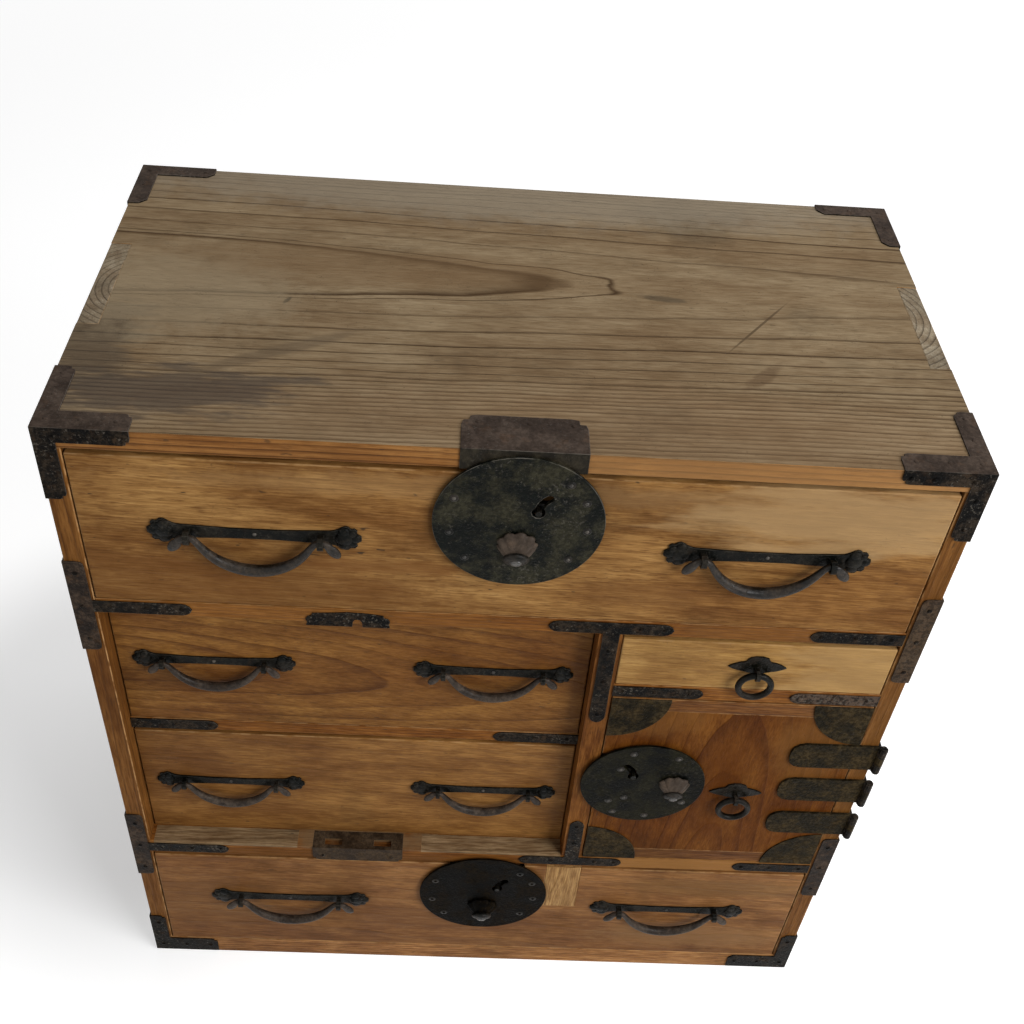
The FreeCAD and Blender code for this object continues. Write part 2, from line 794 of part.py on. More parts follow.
def rail_straps():
    """Short straps at the ends of the rails, and a tee at each end of the divider."""
    half = S.strap_height / 2
    upper = (S.upper_rail_top + upper_rail_under) / 2
    lower = (S.lower_rail_top + lower_rail_under) / 2
    left_rail = (S.left_rail_top + left_rail_under) / 2
    right_rail = (S.right_rail_top + right_rail_under) / 2
    length = S.strap_length
    at_left = (left + S.corner_strip, left + S.corner_strip + length, ["high"])
    at_right = (inner_right - length, inner_right, ["low"])
    spans = (("UpperLeft", at_left, upper, front), ("UpperRight", at_right, upper, front),
             ("LowerLeft", at_left, lower, front), ("LowerRight", at_right, lower, front),
             ("MiddleLeft", (inner_left, inner_left + length, ["high"]), left_rail, recessed_front),
             ("MiddleRight", (S.divider_left - length, S.divider_left, ["low"]), left_rail,
              recessed_front),
             ("DoorLeft", (divider_right, divider_right + length, ["high"]), right_rail, front),
             ("DoorRight", at_right, right_rail, front))
    straps = [outline_plate("Strap" + word, "front",
                            flattened(strap_outline(start, end, level, half, ends), S.tip_facets),
                            S.sheet_thickness, (0, face, 0))
              for word, (start, end, ends), level, face in spans]
    node("rail_straps", group("Straps", straps))

    middle = S.divider_left + S.divider_width / 2
    tees = []
    drops = (("Upper", upper, (upper - S.tee_drop, upper), ["low"]),
             ("Lower", lower, (lower, lower + S.tee_rise), ["high"]))
    for word, level, (low, high), ends in drops:
        across = strap_outline(S.divider_left - S.tee_left, divider_right + S.tee_right, level,
                               half, ["low", "high"])
        along = swap_axes(strap_outline(low, high, middle, S.tee_width / 2, ends))
        head = outline_plate("TeeHead" + word, "front", flattened(across, S.tip_facets),
                             S.sheet_thickness, (0, front, 0))
        stem = outline_plate("TeeStem" + word, "front", flattened(along, S.tip_facets),
                             S.sheet_thickness, (0, front, 0))
        tees.append(fuse("Tee" + word, [head, stem]))
    node("divider_tees", group("Tees", tees))


def case_plates():
    """The strike plate of the top lock, and the plates of a locking bar."""
    half = S.strike_width / 2
    middle = S.lock_across
    span = (middle - half, middle + half)
    flat = outline_plate("StrikeTop", "top",
                         cornered(span, (iron_front, front + S.strike_depth), S.strike_corner,
                                  ["nw", "ne"], CLOUD), S.sheet_thickness, (0, 0, S.case_height))
    flange = box("StrikeFront", span, (iron_front, front), (top_under, iron_top))
    node("lock_strike_plate", fuse("Strike", [flat, flange]))

    ledge = box("BarPlateTop", bar_plate, (iron_front, recessed_front),
                (S.lower_rail_top - S.sheet_thickness, S.lower_rail_top))
    apron = outline_plate("BarPlateFront", "front",
                          cornered(bar_plate, (S.lower_rail_top - S.bar_plate_drop,
                                               S.lower_rail_top),
                                   S.iron_corner, ["sw", "se"], CLOUD), S.sheet_thickness,
                          (0, front, 0))
    holes = [box("BarPlateHole%d" % index, hole, bar_hole_y(),
                 (S.lower_rail_top - S.sheet_thickness, S.lower_rail_top))
             for index, hole in enumerate(bar_holes())]
    lower = cut("BarPlateLower", fuse("BarPlateBlank", [ledge, apron]), holes)
    node("bar_strikes", group("BarPlates", [lower, upper_bar_plate()]))


def upper_bar_plate():
    """The strap on the upper rail that takes the head of a locking bar, with an arched opening."""
    middle = bar_middle + S.bar_upper_shift
    low = upper_rail_under
    high = S.upper_rail_top - S.iron_margin - S.bar_upper_rise
    outline = cornered((middle - S.bar_upper_width / 2, middle + S.bar_upper_width / 2), (low, high),
                       S.iron_corner, ["nw", "ne", "sw"], CLOUD)
    crown = (float(middle), float(high + S.bar_upper_rise))
    outline.insert(-len(CLOUD), crown)
    blank = outline_plate("BarPlateUpperBlank", "front", outline, S.sheet_thickness, (0, front, 0))
    arch_middle = middle + S.bar_arch_across
    arch = outline_plate("BarPlateArch", "front",
                         cornered((arch_middle - S.bar_arch_width / 2,
                                   arch_middle + S.bar_arch_width / 2),
                                  (low, low + S.bar_arch_height), S.bar_arch_width * 0.45,
                                  ["nw", "ne"], ROUND), S.sheet_thickness, (0, front, 0))
    return cut("BarPlateUpper", blank, [arch])


# ---------------------------------------------------------------- locks


def arc_point(x, z, radius, degrees):
    """A point on a circle, from its centre: degrees grow from +X towards +Z."""
    turn = math.radians(degrees)
    return x + radius * math.cos(turn), z + radius * math.sin(turn)


def slot_outline(x, z, radius, start, end, width):
    """A slot along an arc about (x, z), with round ends."""
    half = width / 2
    middle = (start + end) / 2
    cap = math.copysign(math.degrees(half / radius), end - start)
    outer_start = arc_point(x, z, radius + half, start)
    outer_end = arc_point(x, z, radius + half, end)
    inner_start = arc_point(x, z, radius - half, start)
    inner_end = arc_point(x, z, radius - half, end)
    return [inner_start, outer_start + arc_point(x, z, radius, start - cap),
            outer_end + arc_point(x, z, radius + half, middle),
            inner_end + arc_point(x, z, radius, end + cap),
            inner_start + arc_point(x, z, radius - half, middle)][1:]


def lock_plate(name, lock, radius, case_radius, face, sweep, guard):
    """A round lock plate: the plate, its case disc, the latch's pin, and the key guard."""
    x, z = lock["x"], lock["z"]
    stand = face - S.lock_case_thickness
    plate = disc(name + "Plate", "front", radius, S.lock_plate_thickness, (x, stand, z))
    case = rod(name + "Case", case_radius, S.lock_case_thickness, (x, stand, z), "y")
    pin = rod(name + "Pin", S.latch_pin_radius, S.lock_case_thickness + S.latch_pocket_depth,
              (lock["pivot_x"], stand, lock["pivot_z"]), "y")

    guard_x, guard_z = x + guard[0], z + guard[1]
    hood = doc.addObject("Part::Feature", name + "Guard")
    hood.Shape = guard_shape()
    place(hood, guard_x, stand - S.lock_plate_thickness, guard_z)
    keyhole = box(name + "Keyhole", (guard_x - S.keyhole_width / 2, guard_x + S.keyhole_width / 2),
                  (stand - S.lock_plate_thickness - S.guard_depth * 0.75, face),
                  (guard_z - S.guard_height, guard_z - S.guard_height / 4))
    swing_x, swing_z = float(lock["pivot_x"] - x), float(lock["pivot_z"] - z)
    start, end = sweep
    slot = outline_plate(name + "Slot", "front",
                         slot_outline(swing_x, swing_z, float(S.stud_lever), start, end,
                                      float(S.slot_width)),
                         S.lock_plate_thickness + S.lock_case_thickness, (x, face, z))
    ring_x, ring_z = arc_point(swing_x, swing_z, float(S.stud_lever), start)
    hole = bore(name + "StudHole", S.stud_hole_radius, S.lock_plate_thickness + S.lock_case_thickness,
                (x + ring_x, stand - S.lock_plate_thickness, z + ring_z), "y")
    return cut(name, fuse(name + "Blank", [plate, case, pin, hood]), [slot, hole, keyhole])


def guard_shape():
    """A key guard: a petalled fan on the plate that swells out and down into a rounded lip."""
    count = int(float(S.guard_petal_count))
    half = float(S.guard_width) / 2
    tall = float(S.guard_height)
    depth = float(S.guard_depth)
    rows = []
    for out, size, drop, petal in ((0, 1.0, 0, 0.12), (0.4, 0.88, 0.06, 0.05),
                                   (0.8, 0.64, 0.2, 0), (1.0, 0.36, 0.28, 0)):
        corners = []
        for step in range(2 * count + 1):
            turn = math.pi * step / (2 * count)
            reach = size * (1 if step % 2 else 1 - petal)
            corners.append((half * reach * math.cos(turn), tall / 2 * reach * math.sin(turn)))
        corners += [(-half * size * 0.5, -tall / 2 * size * 0.8), (0, -tall / 2 * size),
                    (half * size * 0.5, -tall / 2 * size * 0.8)]
        rows.append([Vector(u, -depth * out, v - tall * drop) for u, v in corners])
    return skin(rows, False)


def latch(name, lock, face, stud_turn, nose_turn):
    """A latch that turns on its pin: hub, arm with its nose, arm with its stud."""
    x, z = lock["pivot_x"], lock["pivot_z"]
    deep = face + S.latch_depth
    back_side = deep + S.latch_thickness
    half = float(S.latch_width) / 2
    arms = []
    for word, length, turn, width in (("Nose", float(lock["reach"]), nose_turn, half),
                                      ("Lever", float(S.stud_lever), stud_turn, half)):
        arm = outline_plate(name + word, "front",
                            [(0, width), (0, -width), (length - width, -width),
                             (length - width, width, length, 0)],
                            S.latch_thickness, midplane=False)
        arm.Placement = FreeCAD.Placement(Vector(), FreeCAD.Rotation(Vector(0, -1, 0), turn))
        place(arm, x, back_side, z)
        arms.append(arm)
    hub = rod(name + "Hub", S.latch_hub_radius, S.latch_thickness, (x, deep, z), "y")
    stud_x, stud_z = arc_point(0, 0, float(S.stud_lever), stud_turn)
    out = S.lock_case_thickness + S.lock_plate_thickness + S.stud_height
    stud = rod(name + "Stud", S.stud_radius, out + S.latch_depth + S.latch_thickness,
               (x + stud_x, face - out, z + stud_z), "y")
    hole = bore(name + "Bore", S.latch_pin_radius + S.fit_gap, S.latch_thickness, (x, deep, z), "y")
    return cut(name, fuse(name + "Blank", arms + [hub, stud]), [hole])


# ---------------------------------------------------------------- handles


def handle_plate(name, ratio, x, face, z):
    """A handle's plate: a strip with three-lobed ends, and two eyes that carry the bail."""
    end = float(S.handle_length) / 2 * ratio
    lobe = float(S.handle_lobe_length) * ratio
    waist = float(S.handle_strip_width) / 2 * ratio
    neck = float(S.handle_neck_width) / 2 * ratio
    tall = float(S.handle_lobe_width) / 2 * ratio
    corner = [(end - lobe, neck), (end - lobe * 0.60, tall * 0.92, end - lobe * 0.78, tall * 0.66),
              (end - lobe * 0.34, tall * 0.80, end - lobe * 0.45, tall),
              (end - lobe * 0.17, tall * 0.40, end - lobe * 0.16, tall * 0.72)]
    nose = [(end - lobe * 0.17, -tall * 0.40, end, 0)]
    half_plate = corner + nose + backwards(flip_over(corner))[1:]
    turned = [tuple(-number for number in point) for point in half_plate]
    outline = half_plate + [(lobe - end, -neck, 0, -waist)]
    outline += turned[1:] + [(end - lobe, neck, 0, waist)]
    pieces = [outline_plate(name + "Strip", "front", flattened(outline[1:], S.lobe_facets),
                            S.handle_sheet_thickness, (x, face, z))]
    holes = []
    width = S.eye_width * ratio
    radius = S.eye_radius * ratio
    stand = face - S.eye_stand * ratio
    eye_z = z - S.eye_drop * ratio
    for side in (1, -1):
        eye_x = x + S.eye_spread * ratio * side - width / 2
        pieces.append(rod("%sEye%d" % (name, side + 1), radius, width, (eye_x, stand, eye_z), "x"))
        pieces.append(box("%sShank%d" % (name, side + 1), (eye_x, eye_x + width), (stand, face),
                          (eye_z - radius * 0.7, eye_z + radius * 0.7)))
        holes.append(bore("%sHole%d" % (name, side + 1), S.eye_hole_radius * ratio, width,
                          (eye_x, stand, eye_z), "x"))
    return cut(name, fuse(name + "Blank", pieces), holes)


def section(centre, side, half_side, half_depth):
    """The corners of a flat-sided section: its half sizes along a direction and along Y."""
    count = int(float(S.bail_facets))
    corners = []
    for step in range(count):
        angle = math.pi * (2 * step + 1) / count
        corners.append(centre + side * (half_side * math.cos(angle))
                       + Vector(0, half_depth * math.sin(angle), 0))
    return corners


def skin(sections, closed):
    """A solid from a row of sections, in flat facets: capped at both ends, or closed on itself."""
    faces = []
    rows = sections + sections[:1] if closed else sections
    for near, far in zip(rows, rows[1:]):
        for corner, beside in zip(range(len(near)), list(range(1, len(near))) + [0]):
            for facet in ((near[corner], near[beside], far[beside]),
                          (near[corner], far[beside], far[corner])):
                faces.append(Part.Face(Part.makePolygon(list(facet) + [facet[0]])))
    if not closed:
        for cap in (sections[0], sections[-1]):
            faces.append(Part.Face(Part.makePolygon(cap + cap[:1])))
    solid = Part.makeSolid(Part.makeShell(faces))
    if solid.Volume < 0:
        solid.reverse()
    return solid


def bail_path():
    """Stations of a bail from its left end: each is (x, z, half size in plane, half size in Y)."""
    eye = float(S.eye_spread)
    half_eye = float(S.eye_width) / 2
    end_radius = float(S.bail_end_radius)
    middle_radius = float(S.bail_middle_radius)
    wide, thin = float(S.tail_half_width), float(S.tail_half_thickness)
    slant = float(S.tail_length) * math.cos(math.pi / 4)
    out = eye + half_eye
    bow_end_x = eye - half_eye - end_radius * 1.85
    bow_end_z = -end_radius * 1.7
    sagitta = float(S.bail_drop) + bow_end_z
    radius = (bow_end_x ** 2 + sagitta ** 2) / (2 * sagitta)
    reach = math.asin(bow_end_x / radius)
    steps = int(float(S.bow_stations))
    bow = []
    for step in range(steps + 1):
        turn = reach * (2 * step / steps - 1)
        swell = math.cos(turn / reach * math.pi / 2)
        size = end_radius + (middle_radius - end_radius) * swell
        bow.append((radius * math.sin(turn), radius * (1 - math.cos(turn)) - float(S.bail_drop),
                    size, size))
    arm = [(eye - half_eye - end_radius * 0.75, -end_radius * 0.35, end_radius, end_radius),
           (eye - half_eye + end_radius * 0.2, 0, end_radius, end_radius),
           (out, 0, end_radius, end_radius),
           (out + slant * 0.25, -slant * 0.12, wide * 0.9, end_radius),
           (out + slant * 0.5, -slant * 0.5, wide, thin),
           (out + slant, -slant * 1.15, wide, thin),
           (out + slant * 1.08, -slant * 1.25, wide * 0.75, thin * 0.7)]
    return [(-u, v, side, deep) for u, v, side, deep in reversed(arm)] + bow + arm


def bail_shape(ratio):
    """A forged bail: a tapering bow, a pin through each eye and a flattened tail outside it."""
    path = bail_path()
    sections = []
    for (x, z, side, deep), before, after in zip(path, path[:1] + path, path[1:] + path[-1:]):
        turn = math.atan2(after[1] - before[1], after[0] - before[0])
        normal = Vector(-math.sin(turn), 0, math.cos(turn))
        sections.append(section(Vector(x * ratio, 0, z * ratio), normal, side * ratio, deep * ratio))
    return skin(sections, False)


def bail(name, ratio, x, face, z):
    """A bail hanging in the eyes of a handle plate."""
    item = doc.addObject("Part::Feature", name)
    item.Shape = bail_shape(ratio)
    return place(item, x, face - S.eye_stand * ratio, z - S.eye_drop * ratio)


def ring_plate(name, x, face, z):
    """A ring pull's plate, shaped like a winged cap, with one eye for the ring."""
    half = float(S.ring_plate_width) / 2
    tall = float(S.ring_plate_height)
    outline = [(half, -tall * 0.05), (half * 0.5, -tall * 0.28, half * 0.75, -tall * 0.2),
               (0, -tall * 0.45), (-half * 0.5, -tall * 0.28),
               (-half, -tall * 0.05, -half * 0.75, -tall * 0.2),
               (-half * 0.42, tall * 0.25, -half * 0.65, tall * 0.18),
               (-half * 0.33, tall * 0.45), (half * 0.33, tall * 0.45, 0, tall * 0.55),
               (half * 0.42, tall * 0.25), (half, -tall * 0.05, half * 0.65, tall * 0.18)]
    plate = outline_plate(name + "Plate", "front", flattened(outline[1:], S.lobe_facets),
                          S.handle_sheet_thickness, (x, face, z))
    width = S.ring_eye_width
    stand = face - S.ring_eye_stand
    eye_z = z - S.ring_eye_drop
    eye = rod(name + "Eye", S.ring_eye_radius, width, (x - width / 2, stand, eye_z), "x")
    shank = box(name + "Shank", (x - width / 2, x + width / 2), (stand, face),
                (eye_z - S.ring_eye_radius * 0.7, eye_z + S.ring_eye_radius * 0.7))
    hole = bore(name + "Hole", S.ring_wire_radius + S.running_gap, width,
                (x - width / 2, stand, eye_z), "x")
    return cut(name, fuse(name + "Blank", [plate, eye, shank]), [hole])


def ring(name, x, face, z):
    """A round ring hanging in the eye of its plate."""
    count = int(float(S.ring_stations))
    radius, wire = float(S.ring_radius), float(S.ring_wire_radius)
    sections = []
    for step in range(count):
        turn = 2 * math.pi * step / count
        outward = Vector(math.cos(turn), 0, math.sin(turn))
        sections.append(section(outward * radius, outward, wire, wire))
    item = doc.addObject("Part::Feature", name)
    item.Shape = skin(sections, True)
    return place(item, x, face - S.ring_eye_stand, z - S.ring_eye_drop - S.ring_radius)


# ---------------------------------------------------------------- drawers


def drawer_box(name, x, face, z):
    """The box behind a drawer's front: a bottom board, two sides and a back."""
    (x_low, x_high), (z_low, z_high) = x, z
    start = face + S.front_thickness
    end = back_face - S.drawer_back_gap
    floor = z_low + S.drawer_bottom_thickness
    rim = z_high - S.drawer_side_drop
    wall = S.drawer_side_thickness
    return group(name, [
        box(name + "Bottom", (x_low, x_high), (start, end), (z_low, floor)),
        box(name + "Left", (x_low, x_low + wall), (start, end), (floor, rim)),
        box(name + "Right", (x_high - wall, x_high), (start, end), (floor, rim)),
        box(name + "Back", (x_low + wall, x_high - wall), (end - wall, end), (floor, rim))])


def lock_pocket(lock, top):
    """The pocket for a drawer's latch, in the front under the lock plate, open at the top edge."""
    return ((lock["pivot_x"] - lock["reach"] - S.latch_width / 2,
             lock["pivot_x"] + S.latch_hub_radius + S.latch_clearance),
            (lock["pivot_z"] - S.latch_hub_radius - S.latch_clearance, top), S.latch_pocket_depth)


def drawers():
    """The five drawers with their locks and handles."""
    wide = (inner_left + S.side_gap, inner_right - S.side_gap)
    left_bay = (inner_left + S.side_gap, S.divider_left - S.side_gap)
    right_bay = (divider_right + S.side_gap, inner_right - S.side_gap)
    small = float(S.small_handle_ratio)
    rows = (
        ("top_drawer", wide, front, S.upper_rail_top, top_under, TOP_LOCK,
         (S.handle_inset, S.top_handle_rise, 1.0)),
        ("upper_left_drawer", left_bay, recessed_front, S.left_rail_top, upper_rail_under, None,
         (S.small_handle_inset, S.upper_left_handle_rise, small)),
        ("lower_left_drawer", left_bay, recessed_front, S.lower_rail_top, left_rail_under, None,
         (S.small_handle_inset, S.lower_left_handle_rise, small)),
        ("small_drawer", right_bay, front, S.right_rail_top, upper_rail_under, None, None),
        ("bottom_drawer", wide, front, base_top, lower_rail_under, BOTTOM_LOCK,
         (S.handle_inset, S.bottom_handle_rise, 1.0)),
    )
    for label, x, face, floor, ceiling, lock, handles in rows:
        name = label.title().replace("_", "")
        z = (floor + S.running_gap, ceiling - S.head_gap)
        middle_x = (x[0] + x[1]) / 2
        middle_z = (z[0] + z[1]) / 2
        pockets = [lock_pocket(lock, z[1])] if lock else []
        if label == "bottom_drawer":
            patch = (S.patch_left, S.patch_left + S.patch_width)
            patch_z = (z[1] - S.patch_height, z[1])
            pockets.append((patch, patch_z, S.patch_thickness))
            node("bottom_drawer_patch", box("Patch", patch, (front, front + S.patch_thickness),
                                            patch_z))
        node(label + "_front", front_board(name + "Front", x, z, face, S.front_thickness, pockets))
        node(label + "_box", drawer_box(name + "Box", x, face, z))
        if lock:
            sweep = (180.0, 180.0 - float(S.latch_swing))
            node(label + "_lock_plate", lock_plate(name + "Lock", lock, S.lock_radius,
                                                   S.lock_case_radius, face, sweep,
                                                   (0, -S.guard_drop)))
            node(label + "_latch", latch(name + "Latch", lock, face, 180.0, 180.0))
        if handles:
            inset, rise, ratio = handles
            handle_z = middle_z + rise
            plates = []
            for handle_x, word in ((x[0] + inset, "left"), (x[1] - inset, "right")):
                plates.append(handle_plate("%sHandle%s" % (name, word.title()), ratio, handle_x,
                                           face, handle_z))
                node("%s_bail_%s" % (label, word),
                     bail("%sBail%s" % (name, word.title()), ratio, handle_x, face, handle_z))
            node(label + "_handle_plates", group(name + "Handles", plates))
        else:
            pull = (middle_x + S.small_ring_across, face, middle_z + S.small_ring_rise)
            node(label + "_ring_plate", ring_plate(name + "Pull", *pull))
            node(label + "_ring", ring(name + "Ring", *pull))


# ---------------------------------------------------------------- the door


def door():
    """The door: a board with a batten at each end, corner plates, a lock and a ring pull."""
    x = (door_left, door_right)
    panel_z = (door_low + S.batten_height, door_high - S.batten_height)
    lock = DOOR_LOCK
    reach = lock["reach"] + S.latch_clearance
    pocket = ((door_left, lock["pivot_x"] + S.stud_lever + S.latch_hub_radius),
              (lock["pivot_z"] - S.latch_hub_radius - S.latch_clearance, lock["pivot_z"] + reach),
              S.latch_pocket_depth)
    node("door_panel", front_board("DoorPanel", x, panel_z, door_front, S.door_thickness, [pocket]))
    y = (door_front, door_front + S.door_thickness)
    node("door_battens", group("Battens", [
        box("BattenLow", x, y, (door_low, panel_z[0])),
        box("BattenHigh", x, y, (panel_z[1], door_high))]))

    plates = []
    for side, across in ((1, door_left), (-1, door_right)):
        for up, level in ((1, door_low), (-1, door_high)):
            radius = float(S.corner_plate_radius)
            bend = radius * math.cos(math.radians(45))
            outline = [(0, 0), (side * radius, 0), (0, up * radius, side * bend, up * bend)]
            plates.append(outline_plate("CornerPlate%d%d" % (side + 1, up + 1), "front", outline,
                                        S.sheet_thickness, (across, door_front, level)))
    node("door_corner_plates", group("CornerPlates", plates))

    swing = float(S.latch_swing)
    rest = 90.0 + float(S.door_latch_rest)
    node("door_lock_plate", lock_plate("DoorLock", lock, S.door_lock_radius,
                                       S.door_lock_case_radius, door_front, (0.0, swing),
                                       (S.door_guard_across, -S.door_guard_drop)))
    node("door_latch", latch("DoorLatch", lock, door_front, 0.0, rest))
    pull = ((door_left + door_right) / 2 + S.door_ring_across, door_front,
            (door_low + door_high) / 2 - S.door_ring_drop)
    node("door_ring_plate", ring_plate("DoorPull", *pull))
    node("door_ring", ring("DoorRing", *pull))


def hinges():
    """Three strap hinges: straps on the door, leaves on the case's side, and their pins."""
    axis_x = right + S.hinge_axis_out
    axis_y = front - S.hinge_axis_out
    third = S.hinge_height / 3
    gap = S.running_gap
    straps = []
    leaves = []
    pins = []
    middle = (door_low + door_high) / 2
    levels = (middle + S.hinge_upper_rise, middle + S.hinge_middle_rise,
              middle - S.hinge_lower_drop)
    for index, level in enumerate(levels):
        low = level - S.hinge_height / 2
        high = level + S.hinge_height / 2
        knuckle = (low + third + gap, high - third - gap)
        height = float(S.hinge_height)
        start = float(axis_x - S.hinge_strap_length)
        end = float(right)
        round_end = height * 0.36
        outline = [(start + round_end, -height / 2), (end, -height / 2), (end, height / 2),
                   (start + round_end, height / 2),
                   (start, height / 2 - round_end, start + round_end * 0.3,
                    height / 2 - round_end * 0.3),
                   (start, round_end - height / 2),
                   (start + round_end, -height / 2, start + round_end * 0.3,
                    round_end * 0.3 - height / 2)]
        strap = outline_plate("Strap%d" % index, "front", flattened(outline[1:], S.lobe_facets),
                              S.hinge_strap_thickness, (0, door_front, level))
        tab = box("StrapTab%d" % index, (right, axis_x),
                  (door_front - S.hinge_strap_thickness, door_front), knuckle)
        barrel = rod("StrapBarrel%d" % index, S.hinge_barrel_radius, knuckle[1] - knuckle[0],
                     (axis_x, axis_y, knuckle[0]), "z")
        hole = bore("StrapBore%d" % index, S.hinge_pin_radius + S.fit_gap,
                    knuckle[1] - knuckle[0], (axis_x, axis_y, knuckle[0]), "z")
        straps.append(cut("DoorStrap%d" % index,
                          fuse("DoorStrapBlank%d" % index, [strap, tab, barrel]), [hole]))

        leaf = box("Leaf%d" % index, (right, right + S.hinge_strap_thickness),
                   (front + S.hinge_barrel_radius / 2, front + S.hinge_leaf_length), (low, high))
        knuckles = []
        bores = []
        for word, (z_low, z_high) in (("Low", (low, low + third)), ("High", (high - third, high))):
            knuckles.append(rod("LeafBarrel%s%d" % (word, index), S.hinge_barrel_radius,
                                z_high - z_low, (axis_x, axis_y, z_low), "z"))
            knuckles.append(box("LeafTab%s%d" % (word, index), (right, right + S.hinge_strap_thickness),
                                (axis_y, front + S.hinge_barrel_radius), (z_low, z_high)))
            bores.append(bore("LeafBore%s%d" % (word, index), S.hinge_pin_radius + S.fit_gap,
                              z_high - z_low, (axis_x, axis_y, z_low), "z"))
        leaves.append(cut("CaseLeaf%d" % index,
                          fuse("CaseLeafBlank%d" % index, [leaf] + knuckles), bores))
        shaft = rod("PinShaft%d" % index, S.hinge_pin_radius, high - low,
                    (axis_x, axis_y, low), "z")
        caps = [rod("PinCap%s%d" % (word, index), S.hinge_head_radius, S.hinge_head,
                    (axis_x, axis_y, z), "z")
                for word, z in (("Low", low - S.hinge_head), ("High", high))]
        pins.append(fuse("HingePin%d" % index, [shaft] + caps))
    node("door_hinge_straps", group("HingeStraps", straps))
    node("hinge_side_leaves", group("HingeLeaves", leaves))
    node("hinge_pins", group("HingePins", pins))


def check_and_write():
    """Check every object and every finished piece, then write one STEP file for each."""
    failed = [item.Label for item in doc.Objects if {"Invalid", "Error"} & set(item.State)]
    for item in NODES:
        if item.Shape.isNull() or not item.Shape.isValid():
            failed.append(item.Label)
    if failed:
        raise RuntimeError("failed objects: " + ", ".join(failed))
    os.makedirs("parts", exist_ok=True)
    for item in NODES:
        item.Shape.exportStep(os.path.join("parts", item.Label + ".step"))
        print("%-32s solids %2d  volume %12.1f" % (item.Label, len(item.Shape.Solids),
                                                    item.Shape.Volume))
    print("nodes:", len(NODES))


case_boards()
rails()
corner_irons()
side_bands()
rail_straps()
case_plates()
drawers()
door()
hinges()
doc.recompute()
check_and_write()
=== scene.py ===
"""Looks of a small tansu chest: worn softwood boards, forged black iron, and a plain studio.

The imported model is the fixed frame.  Boards and irons are merged copies of its nodes with worn
edges; bails and rings are smoothed; nails, bosses and guards are modelled on top.  Lengths in the
classes are millimetres in the chest's own frame: X right, Y back, Z up, front face at Y -165.
"""
import json
import logging
import math
from dataclasses import KW_ONLY, dataclass, replace
from enum import Enum

import bmesh
import bpy
from mathutils import Matrix, Vector


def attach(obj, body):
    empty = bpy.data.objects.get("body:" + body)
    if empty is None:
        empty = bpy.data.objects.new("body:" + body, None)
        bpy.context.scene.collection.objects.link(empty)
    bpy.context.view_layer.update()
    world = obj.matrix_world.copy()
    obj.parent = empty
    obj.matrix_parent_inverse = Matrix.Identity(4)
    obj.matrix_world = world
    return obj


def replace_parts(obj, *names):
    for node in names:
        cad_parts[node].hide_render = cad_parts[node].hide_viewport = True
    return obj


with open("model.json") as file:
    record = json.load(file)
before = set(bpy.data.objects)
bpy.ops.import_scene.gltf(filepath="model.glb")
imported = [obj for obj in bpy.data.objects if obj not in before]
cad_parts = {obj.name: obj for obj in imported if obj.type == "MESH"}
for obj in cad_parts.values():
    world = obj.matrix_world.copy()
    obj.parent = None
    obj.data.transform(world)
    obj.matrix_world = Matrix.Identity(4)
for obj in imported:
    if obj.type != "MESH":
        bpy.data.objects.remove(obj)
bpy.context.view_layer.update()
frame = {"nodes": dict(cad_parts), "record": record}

MM = 0.001
FRONT = -165.0
RECESSED = -149.0
UPPER = 638.0
FORWARD = (0, -1, 0)
BACKWARD = (0, 1, 0)
UPWARD = (0, 0, 1)
LOG = logging.getLogger("tansu")
BODY_OF = {node: body for body, nodes in frame["record"]["behaviour"]["bodies"].items()
           for node in nodes}

Colour = tuple[float, float, float]
Point = tuple[float, float, float]
Pair = tuple[float, float]
Socket = bpy.types.NodeSocket
Node = bpy.types.Node
Piece = bpy.types.Object
Shape = bmesh.types.BMesh


# ---- node trees


